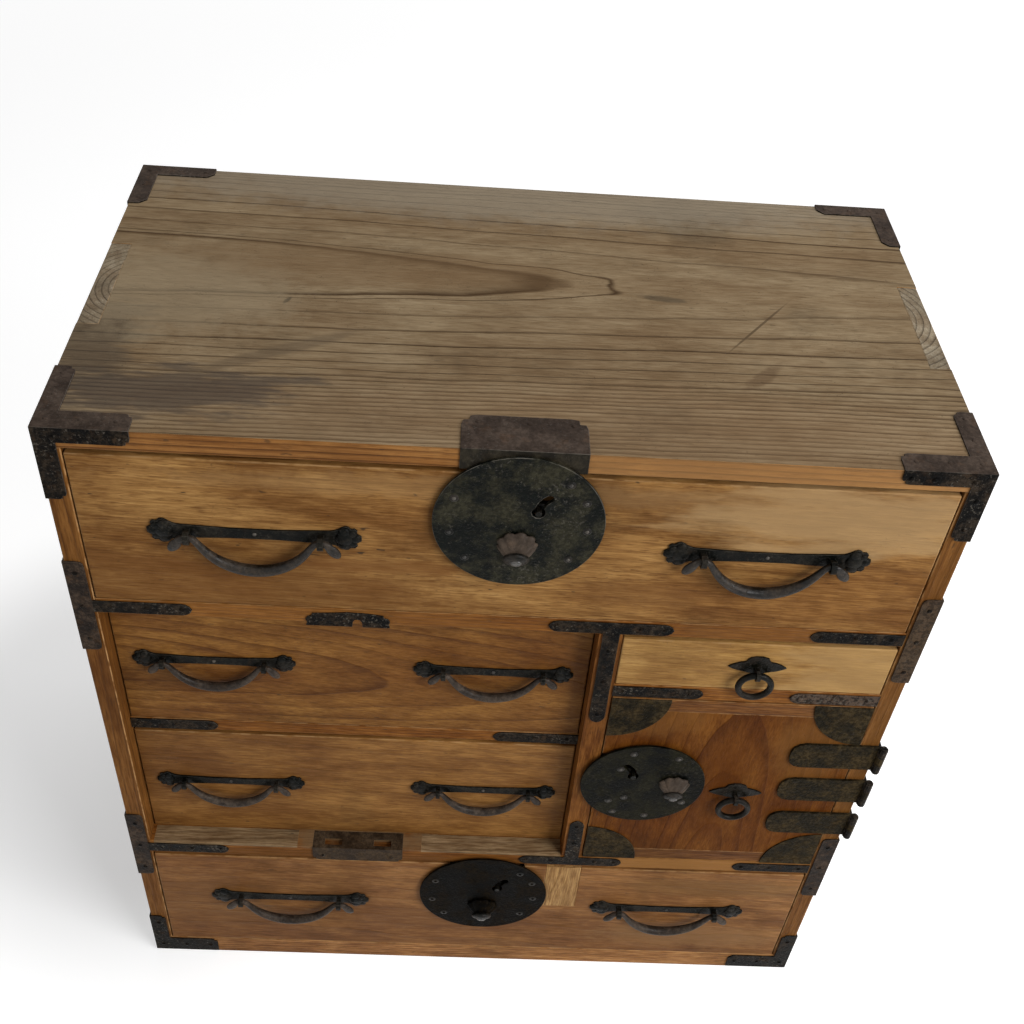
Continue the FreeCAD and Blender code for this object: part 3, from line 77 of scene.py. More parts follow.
class Tree:
    """Short ways to add and join nodes in one node tree."""

    def __init__(self, tree: bpy.types.NodeTree) -> None:
        """Keep the tree that the nodes go into."""
        self.tree = tree

    def feed(self, socket: Socket, value: object) -> None:
        """Link an input to another node's output or set its value; None leaves it alone."""
        if value is None:
            return
        if isinstance(value, Socket):
            self.tree.links.new(value, socket)
        elif socket.type == "RGBA":
            socket.default_value = (*value, 1)
        else:
            socket.default_value = value

    def add(self, kind: str, *inputs: object, **settings: object) -> Node:
        """Add a node.

        Args:
            kind: the node's type, without ShaderNode.
            inputs: values or outputs for its inputs, in order.
            settings: attributes of the node.

        Returns:
            The node.
        """
        node = self.tree.nodes.new("ShaderNode" + kind)
        for name, value in settings.items():
            setattr(node, name, value)
        for socket, value in zip(node.inputs, inputs):
            self.feed(socket, value)
        return node

    def maths(self, operation: str, *values: object, clamp: bool = False) -> Socket:
        """The result of one sum on numbers, on wish kept from 0 to 1."""
        return self.add("Math", *values, operation=operation, use_clamp=clamp).outputs[0]

    def vector(self, operation: str, *values: object) -> Socket:
        """The result of one sum on vectors: a number for LENGTH."""
        node = self.add("VectorMath", *values, operation=operation)
        return node.outputs[1 if operation == "LENGTH" else 0]

    def mix(self, factor: object, first: object, second: object) -> Socket:
        """Two colours mixed by a factor."""
        number_inputs = (None,) * 5
        return self.add("Mix", factor, *number_inputs, first, second, data_type="RGBA").outputs[2]

    def cover(self, colour: object, over: Colour, mask: Socket, strength: float) -> Socket:
        """A colour with another laid over it where a mask is, at some strength."""
        return self.mix(self.maths("MULTIPLY", mask, strength), colour, over)

    def remap(self, value: Socket, low: float, high: float, to_low: float = 0.0,
              to_high: float = 1.0) -> Socket:
        """A number taken smoothly from one span to another and kept inside it."""
        return self.add("MapRange", value, low, high, to_low, to_high,
                        interpolation_type="SMOOTHSTEP").outputs[0]

    def noise(self, vector: Socket, scale: float | Point, detail: float = 2.0,
              roughness: float = 0.5) -> Socket:
        """Soft noise.

        Args:
            vector: the coordinates.
            scale: what they are multiplied by, a number or one per axis.
            detail: how many finer layers it has.
            roughness: how strong those are.

        Returns:
            A number from 0 to 1.
        """
        factors = scale if isinstance(scale, tuple) else (scale, scale, scale)
        node = self.add("TexNoise", self.vector("MULTIPLY", vector, factors))
        for name, value in (("Scale", 1), ("Detail", detail), ("Roughness", roughness)):
            node.inputs[name].default_value = value
        return node.outputs[0]

    def local(self, vector: Socket, centre: Point, turn: Point,
              size: Point = (1, 1, 1)) -> Socket:
        """Coordinates from a centre, along turned axes, in units of a size per axis.

        Args:
            vector: the coordinates to change, in metres.
            centre: the new origin, in millimetres.
            turn: how the new axes are turned, in degrees.
            size: the new unit along each axis, in metres.

        Returns:
            The new coordinates.
        """
        node = self.add("Mapping", vector, vector_type="TEXTURE")
        node.inputs["Location"].default_value = Vector(centre) * MM
        node.inputs["Rotation"].default_value = [math.radians(angle) for angle in turn]
        node.inputs["Scale"].default_value = size
        return node.outputs[0]


def new_material(name: str) -> tuple[bpy.types.Material, Tree, bpy.types.bpy_prop_collection]:
    """A material with nodes, its tree, and the inputs of its surface shader."""
    material = bpy.data.materials.new(name)
    material.use_nodes = True
    nodes = material.node_tree
    return material, Tree(nodes), nodes.nodes["Principled BSDF"].inputs


class Group:
    """A shader node group with named inputs and outputs, built once and placed in materials."""

    name = ""
    inputs: tuple[tuple[str, str, object], ...] = ()
    outputs: tuple[str, ...] = ()

    def fill(self, tree: Tree, given: Node) -> dict[str, Socket]:
        """Add the group's own nodes, after the node that gives its inputs: its results by name."""
        raise NotImplementedError

    def build(self) -> bpy.types.NodeTree:
        """The group's node tree, made at its first use."""
        if self.name in bpy.data.node_groups:
            return bpy.data.node_groups[self.name]
        group = bpy.data.node_groups.new(self.name, "ShaderNodeTree")
        for name, kind, value in self.inputs:
            socket = group.interface.new_socket(name, in_out="INPUT",
                                                socket_type="NodeSocket" + kind)
            if value is not None:
                socket.default_value = value
        for name in self.outputs:
            group.interface.new_socket(name, in_out="OUTPUT", socket_type="NodeSocketFloat")
        given = group.nodes.new("NodeGroupInput")
        out = group.nodes.new("NodeGroupOutput")
        for name, socket in self.fill(Tree(group), given).items():
            group.links.new(socket, out.inputs[name])
        return group

    def place(self, tree: Tree, **values: object) -> dict[str, Socket]:
        """Put the group in a material's tree, with values for inputs: its outputs by name."""
        node = tree.add("Group", node_tree=self.build())
        for name, value in values.items():
            tree.feed(node.inputs[name], value)
        return {name: node.outputs[name] for name in self.outputs}


class LogGrain(Group):
    """Wood inside a log whose pith runs along X: ring radius, fibres, pores, clouds, specks."""

    name = "Log grain"
    inputs = (("Vector", "Vector", None), ("Waver", "Float", 0.004))
    outputs = ("Radius", "Fibre", "Streak", "Pores", "Cloud", "Mottle", "Specks")

    def fill(self, tree: Tree, given: Node) -> dict[str, Socket]:
        """Noise stretched along the fibres, and the wavering distance from the pith."""
        vector = given.outputs["Vector"]
        across = tree.vector("LENGTH", tree.vector("MULTIPLY", vector, (0, 1, 1)))
        slow = tree.maths("SUBTRACT", tree.noise(vector, (4, 16, 16)), 0.5)
        quick = tree.maths("SUBTRACT", tree.noise(vector, (19, 60, 60)), 0.5)
        waver = tree.maths("MULTIPLY_ADD", quick, 0.22, slow)
        waver = tree.maths("MULTIPLY", waver, given.outputs["Waver"])
        pores = tree.noise(vector, (80, 900, 900), 2, 0.6)
        specks = tree.noise(vector, (110, 330, 330), 1, 0.4)
        return {"Radius": tree.maths("ADD", across, waver),
                "Fibre": tree.noise(vector, (50, 800, 800), 3, 0.62),
                "Streak": tree.noise(vector, (12, 230, 230), 4, 0.66),
                "Mottle": tree.noise(vector, (16, 46, 46), 7, 0.68),
                "Pores": tree.remap(pores, 0.55, 0.7),
                "Cloud": tree.noise(vector, (4.2, 21, 21), 3, 0.55),
                "Specks": tree.remap(specks, 0.73, 0.8)}


class RingLines(Group):
    """Late wood lines from a running ring count: a line before each whole number."""

    name = "Ring lines"
    inputs = (("Count", "Float", 0), ("Start", "Float", 0.6))
    outputs = ("Line", "Body")

    def fill(self, tree: Tree, given: Node) -> dict[str, Socket]:
        """A rise from the start and a sharp fall within each ring, of uneven strength."""
        count = given.outputs["Count"]
        start = given.outputs["Start"]
        part = tree.maths("FRACT", count)
        tone = tree.add("TexWhiteNoise", noise_dimensions="1D")
        tree.feed(tone.inputs["W"], tree.maths("FLOOR", count))
        past = tree.maths("SUBTRACT", part, start)
        span = tree.maths("SUBTRACT", 0.95, start)
        rise = tree.maths("POWER", tree.maths("DIVIDE", past, span, clamp=True), 1.5)
        fall = tree.remap(part, 0.96, 1, 1, 0)
        strength = tree.maths("MULTIPLY_ADD", tone.outputs[0], 0.5, 0.5)
        line = tree.maths("MULTIPLY", tree.maths("MULTIPLY", rise, fall), strength)
        return {"Line": line, "Body": tree.maths("MULTIPLY", part, part)}


class Wear(Group):
    """Rubbed edges, dirt and fine scratches."""

    name = "Wear"
    inputs = (("Vector", "Vector", None), ("Edge", "Float", 0))
    outputs = ("Rub", "Dirt", "Scratch")

    def fill(self, tree: Tree, given: Node) -> dict[str, Socket]:
        """Edges broken up by noise, blotches, and thin lines along two directions."""
        vector = given.outputs["Vector"]
        broken = tree.remap(tree.noise(vector, 85, 3), 0.34, 0.62)
        lines = []
        for turn, where in (((0, 34, 31), 17), ((0, -52, -47), 23)):
            turned = tree.local(vector, (0, 0, 0), turn)
            thin = tree.remap(tree.noise(turned, (26, 900, 900), 1), 0.71, 0.76)
            place = tree.remap(tree.noise(vector, where, 1), 0.52, 0.62)
            lines.append(tree.maths("MULTIPLY", thin, place))
        return {"Rub": tree.maths("MULTIPLY", given.outputs["Edge"], broken),
                "Dirt": tree.remap(tree.noise(vector, 11, 5, 0.6), 0.5, 0.72),
                "Scratch": tree.maths("ADD", *lines, clamp=True)}


class IronSkin(Group):
    """Old lacquered iron: patina clouds, rust, bright flecks that are partly painted glints, and a
    hammered surface.
    """

    name = "Iron skin"
    inputs = (("Vector", "Vector", None),)
    outputs = ("Patina", "Grit", "Rust", "Flecks", "Height")

    def fill(self, tree: Tree, given: Node) -> dict[str, Socket]:
        """Noise at several sizes, from clouds down to pits."""
        vector = given.outputs["Vector"]
        hammer = tree.noise(vector, 210, 3, 0.6)
        pits = tree.remap(tree.noise(vector, 620), 0.34, 0.46)
        # Bright flecks: partly worn specks in the lacquer, partly painted glints.
        flecks_and_glints = tree.maths("MULTIPLY_ADD", tree.noise(vector, 28), 0.35,
                            tree.noise(vector, 460, 3, 0.6))
        return {"Patina": tree.remap(tree.noise(vector, 55, 5, 0.66), 0.4, 0.62),
                "Grit": tree.remap(tree.noise(vector, 340, 4, 0.68), 0.42, 0.58),
                "Rust": tree.remap(tree.noise(vector, 95, 5, 0.68), 0.54, 0.68),
                "Flecks": tree.remap(flecks_and_glints, 0.78, 0.86),
                "Height": tree.maths("MULTIPLY_ADD", pits, 0.45, hammer)}


# ---- finishes

# Noise is spread over SOFT to a full span; the late wood's start changes over FADE millimetres.
SOFT = (0.34, 0.66)
FADE = 12.0


class Grain(Enum):
    """Which way a board's fibres run: the turn, in degrees, that takes X to that way."""

    ACROSS = (0, 0, 0)
    UP = (0, -90, 0)
    DEEP = (0, 0, 90)


@dataclass(frozen=True)
class Patch:
    """A stain or rubbed place: a soft spot in a finish, in millimetres from the chest's origin."""

    centre: Point
    size: Point
    colour: Colour
    strength: float
    ragged: float = 0.5
    turn: Point = (0, 0, 0)
    rough: Point = (70, 70, 70)

    def lay(self, tree: Tree, vector: Socket, colour: Socket) -> Socket:
        """The colour with the patch on it; the vector is Object coordinates."""
        size = tuple(length * MM for length in self.size)
        away = tree.vector("LENGTH", tree.local(vector, self.centre, self.turn, size))
        rough = tree.maths("SUBTRACT", tree.noise(vector, self.rough, 5, 0.6), 0.5)
        away = tree.maths("MULTIPLY_ADD", rough, 2.0 * self.ragged, away)
        mask = tree.remap(away, 0.45, 1, self.strength, 0)
        return tree.mix(mask, colour, self.colour)


@dataclass(frozen=True)
class Finish:
    """What the wood and iron finishes share: a name, a slot, gloss, relief and patches."""

    name: str
    slot: str
    _: KW_ONLY
    rough: float = 0.3
    gloss: float = 0.06
    bump: float = 0.7
    relief: float = 0.0006
    patches: tuple[Patch, ...] = ()

    def surface(self, tree: Tree, place: Socket,
                wear: dict[str, Socket]) -> tuple[Socket, Socket, Socket]:
        """Make the finish's own nodes.

        Args:
            tree: the material's tree.
            place: Object coordinates.
            wear: the outputs of the Wear group.

        Returns:
            The colour, the roughness and the height of the surface.
        """
        raise NotImplementedError

    def build(self) -> bpy.types.Material:
        """The material, made at its first use."""
        if self.name in bpy.data.materials:
            return bpy.data.materials[self.name]
        material, tree, shader = new_material(self.name)
        place = tree.add("TexCoord").outputs["Object"]
        edge = tree.add("Attribute", attribute_name="edge").outputs["Fac"]
        wear = Wear().place(tree, Vector=place, Edge=edge)
        colour, rough, height = self.surface(tree, place, wear)
        bump = tree.add("Bump", self.bump, self.relief)
        tree.feed(bump.inputs["Height"], height)
        for name, value in (("Specular IOR Level", self.gloss), ("Base Color", colour),
                            ("Roughness", rough), ("Normal", bump.outputs["Normal"])):
            tree.feed(shader[name], value)
        return material


@dataclass(frozen=True)
class Wood(Finish):
    """A wood finish: the log that a board was sawn from, its colours, and its wear.

    The pith is a point of the log's axis in millimetres, and lean turns that axis in degrees.
    Rings are points of a curve from radius in millimetres to the count of rings, which starts
    at no ring in the pith.  Late is where the late wood starts in a ring, inside and outside of
    a radius in millimetres.
    """

    pale: Colour
    deep: Colour
    line: Colour
    _: KW_ONLY
    grain: Grain = Grain.ACROSS
    pith: Point = (0, 60, 0)
    lean: Point = (0, 1.5, 0.6)
    rings: tuple[Pair, ...] = ((400, 60),)
    lines: float = 0.6
    body: float = 0.5
    late: tuple[float, float, float] = (0.62, 0.62, 300)
    waver: float = 0.012
    fibre: float = 0.3
    streak: float = 0.08
    mottle: float = 0.25
    pores: float = 0.45
    specks: float = 0.5
    dirt: float = 0.3
    dirt_colour: Colour = (0.03, 0.022, 0.015)
    rub_colour: Colour = (0.42, 0.25, 0.11)
    rub: float = 0.6
    scratches: float = 0.3
    rough: float = 0.52
    gloss: float = 0.1
    bump: float = 0.8
    relief: float = 0.0004

    def ring_count(self, tree: Tree, radius: Socket) -> Socket:
        """The running count of rings, by a curve, at a distance from the pith in metres."""
        reach, most = self.rings[-1]
        node = tree.add("FloatCurve")
        curve = node.mapping.curves[0]
        curve.points[0].location = (0, 0)
        curve.points[1].location = (1, 1)
        for distance, count in self.rings[:-1]:
            curve.points.new(distance / reach, count / most)
        for point in curve.points:
            point.handle_type = "VECTOR"
        node.mapping.update()
        tree.feed(node.inputs["Value"], tree.maths("DIVIDE", radius, reach * MM))
        return tree.maths("MULTIPLY", node.outputs[0], most)

    def surface(self, tree: Tree, place: Socket,
                wear: dict[str, Socket]) -> tuple[Socket, Socket, Socket]:
        """The log's rings, fibres, pores and stains, as Finish.surface says."""
        turn = tuple(a + b for a, b in zip(self.grain.value, self.lean))
        log = tree.local(place, self.pith, turn)
        grain = LogGrain().place(tree, Vector=log, Waver=self.waver)
        inner, outer, reach = self.late
        start = tree.remap(grain["Radius"], reach * MM, (reach + FADE) * MM, inner, outer)
        ring = RingLines().place(tree, Count=self.ring_count(tree, grain["Radius"]), Start=start)

        cloud = tree.remap(grain["Cloud"], *SOFT)
        colour = tree.mix(cloud, self.pale, self.deep)
        colour = tree.cover(colour, self.deep, ring["Body"], self.body * self.lines)
        colour = tree.cover(colour, self.line, ring["Line"], self.lines)
        for mask, share in ((grain["Fibre"], self.fibre), (grain["Streak"], self.streak),
                            (grain["Mottle"], self.mottle)):
            dark = (1.0 - share, 1.0 - 1.25 * share, 1.0 - 1.5 * share)
            light = (1.0 + share, 1.0 + 1.15 * share, 1.0 + 1.25 * share)
            tint = tree.mix(tree.remap(mask, *SOFT), dark, light)
            colour = tree.vector("MULTIPLY", colour, tint)
        for over, mask, strength in ((self.line, grain["Pores"], self.pores),
                                     (self.dirt_colour, grain["Specks"], self.specks),
                                     (self.dirt_colour, wear["Dirt"], self.dirt),
                                     (self.dirt_colour, wear["Scratch"], self.scratches),
                                     (self.rub_colour, wear["Rub"], self.rub)):
            colour = tree.cover(colour, over, mask, strength)
        for patch in self.patches:
            colour = patch.lay(tree, place, colour)

        shine = tree.remap(grain["Fibre"], 0.2, 0.8, self.rough + 0.1, self.rough - 0.06)
        height = tree.maths("MULTIPLY_ADD", grain["Fibre"], 0.3, ring["Line"])
        height = tree.maths("MULTIPLY_ADD", grain["Pores"], -0.35, height)
        return (colour, tree.maths("MULTIPLY_ADD", wear["Dirt"], 0.15, shine),
                tree.maths("MULTIPLY_ADD", wear["Scratch"], -0.7, height))


@dataclass(frozen=True)
class Iron(Finish):
    """An iron finish: old lacquer over forged sheet, with rust and rubbed edges."""

    black: Colour
    patina: Colour
    _: KW_ONLY
    rust: Colour = (0.06, 0.032, 0.018)
    rubbed: Colour = (0.09, 0.075, 0.058)
    rust_share: float = 0.3
    # Strength of the bright flecks: worn specks and painted glints in the rubbed colour.
    flecks_and_glints: float = 0.2
    grit: float = 0.3

    def surface(self, tree: Tree, place: Socket,
                wear: dict[str, Socket]) -> tuple[Socket, Socket, Socket]:
        """The iron's patina, rust, grit and rubbed edges, as Finish.surface says."""
        skin = IronSkin().place(tree, Vector=place)
        colour = tree.mix(skin["Patina"], self.black, self.patina)
        for patch in self.patches:
            colour = patch.lay(tree, place, colour)
        colour = tree.cover(colour, self.rust, skin["Rust"], self.rust_share)
        level = tree.maths("MULTIPLY_ADD", skin["Grit"], 2.0 * self.grit, 1.0 - self.grit)
        colour = tree.vector("SCALE", colour, None, None, level)
        # The flecks lay the rubbed colour on as worn specks and as painted glints.
        for mask, strength in ((skin["Flecks"], self.flecks_and_glints), (wear["Rub"], 0.7),
                               (wear["Scratch"], 0.25)):
            colour = tree.cover(colour, self.rubbed, mask, strength)
        rough = tree.maths("MULTIPLY_ADD", skin["Patina"], 0.16, self.rough)
        return colour, tree.maths("MULTIPLY_ADD", skin["Rust"], 0.2, rough), skin["Height"]


TOP = Wood(
    "Weathered top", "top_wood", (0.206, 0.15, 0.089), (0.16, 0.108, 0.06), (0.04, 0.022, 0.01),
    pith=(0, 28, 582), lean=(0, 2.7, 0.3), rings=((58, 3), (60, 4), (73, 5), (88, 6), (102, 7),
    (111, 8), (120, 9), (128, 10), (135, 11), (139, 12), (260, 41)), lines=1.0, body=0.22,
    late=(0.83, 0.35, 126), waver=0.01, fibre=0.12, mottle=0.12, pores=0.12, specks=0.35,
    dirt=0.35, rub=0.35, scratches=0.55, rough=0.6, gloss=0.02, relief=0.0007, patches=(
        Patch((60, -140, UPPER), (420, 60, 30), (0.26, 0.165, 0.09), 0.25, 0.3),
        Patch((0, 165, UPPER), (420, 70, 30), (0.225, 0.188, 0.138), 0.65, 0.3),
        Patch((-235, -125, UPPER), (110, 34, 30), (0.054, 0.043, 0.036), 0.66, 1.1, (0, 0, 8),
              (26, 120, 60)),
        Patch((-285, -70, UPPER), (40, 70, 30), (0.06, 0.048, 0.036), 0.6, 1.0,
              rough=(26, 150, 60)),
        Patch((-165, -75, UPPER), (85, 8, 30), (0.11, 0.078, 0.048), 0.6, 0.25, (0, 0, 28)),
        Patch((-164, -13, UPPER), (6, 2.2, 9), (0.02, 0.012, 0.006), 1.0, 0.1, (0, 0, 62)),
        Patch((-250, -10, UPPER), (120, 70, 9), (0.245, 0.19, 0.12), 0.55),
        Patch((-110, 38, UPPER), (215, 36, 9), (0.15, 0.092, 0.046), 0.5, 0.35, (0, 0, -3),
              (12, 60, 60)),
        Patch((103, 15, UPPER), (24, 5, 9), (0.065, 0.048, 0.03), 0.7, 0.5, (0, 0, -6)),
        Patch((170, -15, UPPER), (55, 1.3, 9), (0.07, 0.045, 0.025), 0.8, 0.15, (0, 0, 52)),
        Patch((165, -75, UPPER), (26, 7, 9), (0.08, 0.046, 0.024), 0.5, 0.6, (0, 0, 48)),
    ))
TOP_EDGE = Wood(
    "Oiled front edge", "case_wood", (0.33, 0.155, 0.046), (0.235, 0.096, 0.023),
    (0.11, 0.042, 0.01), pith=(0, 0, 500), lean=(0, 0.15, 0), rings=((200, 66),), lines=1.6,
    late=(0.5, 0.5, 300), waver=0.003, fibre=0.12, mottle=0.2, dirt=0.15,
    rub_colour=(0.6, 0.42, 0.2), rub=1.0, patches=(
        Patch((190, FRONT, 628), (260, 30, 60), (0.4, 0.215, 0.08), 0.45),
    ))
END_LEFT = Wood(
    "Left end grain", "case_wood", (0.25, 0.2, 0.14), (0.16, 0.124, 0.082), (0.045, 0.032, 0.02),
    grain=Grain.UP, pith=(-262, -5, 600), lean=(0, 0, 0), rings=((200, 44),), lines=0.95,
    waver=0.004, fibre=0.15, streak=0.12, pores=0.1, dirt=0.5, rub=0.3, rough=0.7)
END_RIGHT = replace(
    END_LEFT, name="Right end grain", pale=(0.25, 0.205, 0.145), deep=(0.16, 0.128, 0.088),
    line=(0.05, 0.036, 0.024), pith=(250, 10, 600), rings=((200, 40),))
DIVIDER = Wood(
    "Divider softwood", "case_wood", (0.165, 0.062, 0.013), (0.11, 0.038, 0.007),
    (0.05, 0.018, 0.004), grain=Grain.UP, pith=(70, -90, 300), lean=(0, 0.5, 0.8),
    rings=((400, 110),), waver=0.008, streak=0.25, dirt=0.35, gloss=0.05)
CASE = Wood(
    "Side board softwood", "case_wood", (0.2, 0.084, 0.02), (0.132, 0.05, 0.01),
    (0.065, 0.024, 0.006), grain=Grain.UP, pith=(0, 90, 300), lean=(0, 0.5, 0.8),
    rings=((400, 70),), waver=0.01, fibre=0.2, mottle=0.15, dirt=0.2,
    rub_colour=(0.45, 0.26, 0.11), rub=0.9, gloss=0.06, patches=(
        Patch((298, FRONT, 400), (14, 30, 260), (0.13, 0.052, 0.01), 0.55),
    ))
RAIL = Wood(
    "Rail softwood", "case_wood", (0.245, 0.098, 0.022), (0.165, 0.059, 0.011),
    (0.078, 0.028, 0.006), pith=(0, -90, 250), lean=(0, 0.4, 0.5), rings=((400, 120),),
    waver=0.008, streak=0.12, gloss=0.06, patches=(
        Patch((185, FRONT, 177), (140, 40, 16), (0.31, 0.145, 0.042), 0.8),
        Patch((-150, FRONT, 172), (230, 10, 12), (0.12, 0.046, 0.01), 0.7),
        Patch((195, FRONT, 478), (110, 40, 16), (0.215, 0.098, 0.028), 0.4),
        Patch((-105, -158, 187), (95, 16, 8), (0.19, 0.118, 0.058), 0.85),
        Patch((-130, FRONT, 478), (210, 40, 18), (0.24, 0.104, 0.026), 0.4),
    ))
BASE = Wood(
    "Base board", "case_wood", (0.372, 0.176, 0.062), (0.262, 0.116, 0.036), (0.11, 0.046, 0.014),
    pith=(0, -90, 250), lean=(0, 0.4, 0.5), rings=((400, 120),), waver=0.008, streak=0.2,
    dirt=0.35)
BACK = Wood(
    "Plain back", "plain_wood", (0.29, 0.19, 0.105), (0.215, 0.132, 0.066), (0.1, 0.056, 0.025),
    pith=(40, 196, 330), lean=(0, 1.5, 2), rings=((400, 46),), lines=0.7, late=(0.7, 0.7, 400),
    fibre=0.18, streak=0.07, mottle=0.12, dirt=0.22, rub=0.3, gloss=0.05)
INSIDE = Wood(
    "Plain drawer wood", "plain_wood", (0.33, 0.21, 0.11), (0.25, 0.15, 0.072),
    (0.14, 0.075, 0.032), grain=Grain.DEEP, pith=(60, 0, 90), lines=0.5, fibre=0.18, streak=0.07,
    mottle=0.1, dirt=0.2, gloss=0.05)
INSIDE_ACROSS = replace(INSIDE, name="Plain drawer end", grain=Grain.ACROSS, pith=(0, 60, 90))
LEDGE = Wood(
    "Worn ledge", "worn_wood", (0.25, 0.168, 0.092), (0.185, 0.12, 0.062), (0.08, 0.046, 0.022),
    pith=(0, -100, 150), streak=0.15, dirt=0.6)
DRAWER_TOP = Wood(
    "Top drawer front", "drawer_wood", (0.3, 0.158, 0.052), (0.205, 0.094, 0.026),
    (0.1, 0.036, 0.008), pith=(80, -20, 380), lean=(0, 1.6, 0.4), rings=((300, 34),), lines=0.32,
    waver=0.022, fibre=0.2, streak=0.1, mottle=0.3, pores=0.6, specks=0.8, dirt=0.32,
    gloss=0.06, patches=(
        Patch((-190, FRONT, 505), (200, 30, 40), (0.15, 0.06, 0.015), 0.55),
        Patch((225, FRONT, 590), (150, 30, 40), (0.45, 0.29, 0.135), 0.65, 0.9,
              rough=(14, 60, 60)),
        Patch((-30, FRONT, 604), (260, 30, 14), (0.33, 0.19, 0.078), 0.4),
        Patch((90, FRONT, 515), (60, 30, 18), (0.18, 0.08, 0.024), 0.45),
        Patch((-95, FRONT, 532), (75, 30, 9), (0.17, 0.068, 0.018), 0.6, 0.9, (0, 2, 0),
              (16, 60, 90)),
    ))
DRAWER_UPPER = Wood(
    "Upper left drawer front", "drawer_wood", (0.23, 0.104, 0.024), (0.14, 0.053, 0.01),
    (0.072, 0.025, 0.005), pith=(-100, -112, 392), lean=(0, 4, 7), rings=((300, 30),), lines=0.7,
    body=0.7, fibre=0.18, streak=0.09, pores=0.4)
DRAWER_LOWER = Wood(
    "Lower left drawer front", "drawer_wood", (0.258, 0.122, 0.034), (0.18, 0.078, 0.019),
    (0.1, 0.04, 0.01), pith=(60, -60, 200), lean=(0, 2, 3), rings=((300, 26),), lines=0.36,
    waver=0.016, fibre=0.18, streak=0.09, pores=0.4, dirt=0.25)
DRAWER_SMALL = Wood(
    "Small drawer front", "pale_wood", (0.41, 0.238, 0.082), (0.3, 0.158, 0.045),
    (0.19, 0.09, 0.024), pith=(150, -60, 380), rings=((300, 40),), lines=0.22, fibre=0.16,
    dirt=0.15, patches=(
        Patch((265, FRONT, 440), (70, 30, 60), (0.44, 0.27, 0.105), 0.55, 1.2, rough=(20, 60, 60)),
    ))
DRAWER_BOTTOM = Wood(
    "Bottom drawer front", "drawer_wood", (0.258, 0.118, 0.038), (0.172, 0.07, 0.018),
    (0.1, 0.038, 0.01), pith=(90, -90, -30), lean=(0, 2.4, 2), rings=((300, 22),), lines=0.34,
    waver=0.03, fibre=0.18, streak=0.09, pores=0.4, dirt=0.28, patches=(
        Patch((-30, FRONT, 75), (150, 30, 26), (0.125, 0.048, 0.013), 0.5),
        Patch((215, FRONT, 140), (110, 30, 20), (0.18, 0.088, 0.026), 0.6),
        Patch((200, FRONT, 55), (120, 30, 26), (0.27, 0.14, 0.052), 0.55),
        Patch((-235, FRONT, 95), (80, 30, 60), (0.15, 0.068, 0.02), 0.4),
    ))
PATCH = Wood(
    "Repair patch", "patch_wood", (0.41, 0.245, 0.098), (0.32, 0.175, 0.062), (0.19, 0.095, 0.032),
    grain=Grain.UP, pith=(70, -120, 130), lines=0.3, streak=0.15, dirt=0.2)
DOOR = Wood(
    "Door panel", "door_wood", (0.17, 0.062, 0.01), (0.102, 0.031, 0.004), (0.048, 0.012, 0.002),
    grain=Grain.UP, pith=(188, -150, 190), lean=(0, 9, 84), rings=((200, 17),), body=1.0,
    late=(0.5, 0.5, 300), waver=0.01, fibre=0.12, pores=0.3, dirt=0.25, scratches=0.6,
    gloss=0.04, patches=(
        Patch((186, FRONT, 290), (24, 30, 80), (0.105, 0.03, 0.003), 0.5, 0.4, rough=(90, 60, 20)),
        Patch((250, FRONT, 350), (45, 30, 60), (0.195, 0.084, 0.02), 0.5),
        Patch((120, FRONT, 380), (50, 30, 30), (0.19, 0.08, 0.018), 0.5),
    ))
BATTEN = Wood(
    "Door batten", "door_wood", (0.175, 0.07, 0.016), (0.115, 0.042, 0.008), (0.058, 0.02, 0.004),
    pith=(150, -90, 260), lines=0.4, streak=0.15, dirt=0.25)
BLACK = Iron(
    "Black iron", "black_iron", (0.0012, 0.001, 0.0008), (0.021, 0.015, 0.01),
    rust=(0.036, 0.02, 0.011), rubbed=(0.12, 0.105, 0.085), rust_share=0.4, flecks_and_glints=0.6, grit=0.65,
    rough=0.36, gloss=0.04, patches=(
        Patch((-290, -155, 25), (70, 60, 60), (0.004, 0.003, 0.002), 0.8, 0.2),
        Patch((252, FRONT, 410.7), (62, 20, 14), (0.056, 0.038, 0.027), 0.95, 0.1),
    ))
PLATE = Iron(
    "Handle plate iron", "black_iron", (0.002, 0.0025, 0.002), (0.014, 0.012, 0.009),
    rust=(0.024, 0.015, 0.01), rubbed=(0.07, 0.062, 0.05), rust_share=0.4, flecks_and_glints=0.3, grit=0.4,
    relief=0.0004)
BAND = Iron(
    "Band iron", "black_iron", (0.01, 0.006, 0.004), (0.048, 0.032, 0.022),
    rust=(0.07, 0.04, 0.022), rust_share=0.5, flecks_and_glints=0.25, grit=0.4, rough=0.44, patches=(
        Patch((296, -150, 480), (40, 90, 60), (0.054, 0.034, 0.019), 0.85, 0.2),
    ))
LOCK = Iron(
    "Lock iron", "black_iron", (0.0015, 0.0025, 0.0018), (0.026, 0.024, 0.014),
    rust=(0.032, 0.026, 0.016), rubbed=(0.2, 0.18, 0.15), rust_share=0.2, grit=0.35)
DOOR_LOCK = Iron(
    "Door lock iron", "black_iron", (0.0008, 0.001, 0.0006), (0.011, 0.01, 0.005),
    rust=(0.024, 0.018, 0.01), rubbed=(0.07, 0.062, 0.048), rust_share=0.2, flecks_and_glints=0.25, grit=0.35,
    rough=0.32, gloss=0.03)
DARK_LOCK = Iron(
    "Dark lock iron", "black_iron", (0.0005, 0.0004, 0.0002), (0.005, 0.003, 0.001),
    rust=(0.01, 0.006, 0.003), rubbed=(0.03, 0.025, 0.02), rust_share=0.2, grit=0.65, rough=0.38,
    gloss=0.02)
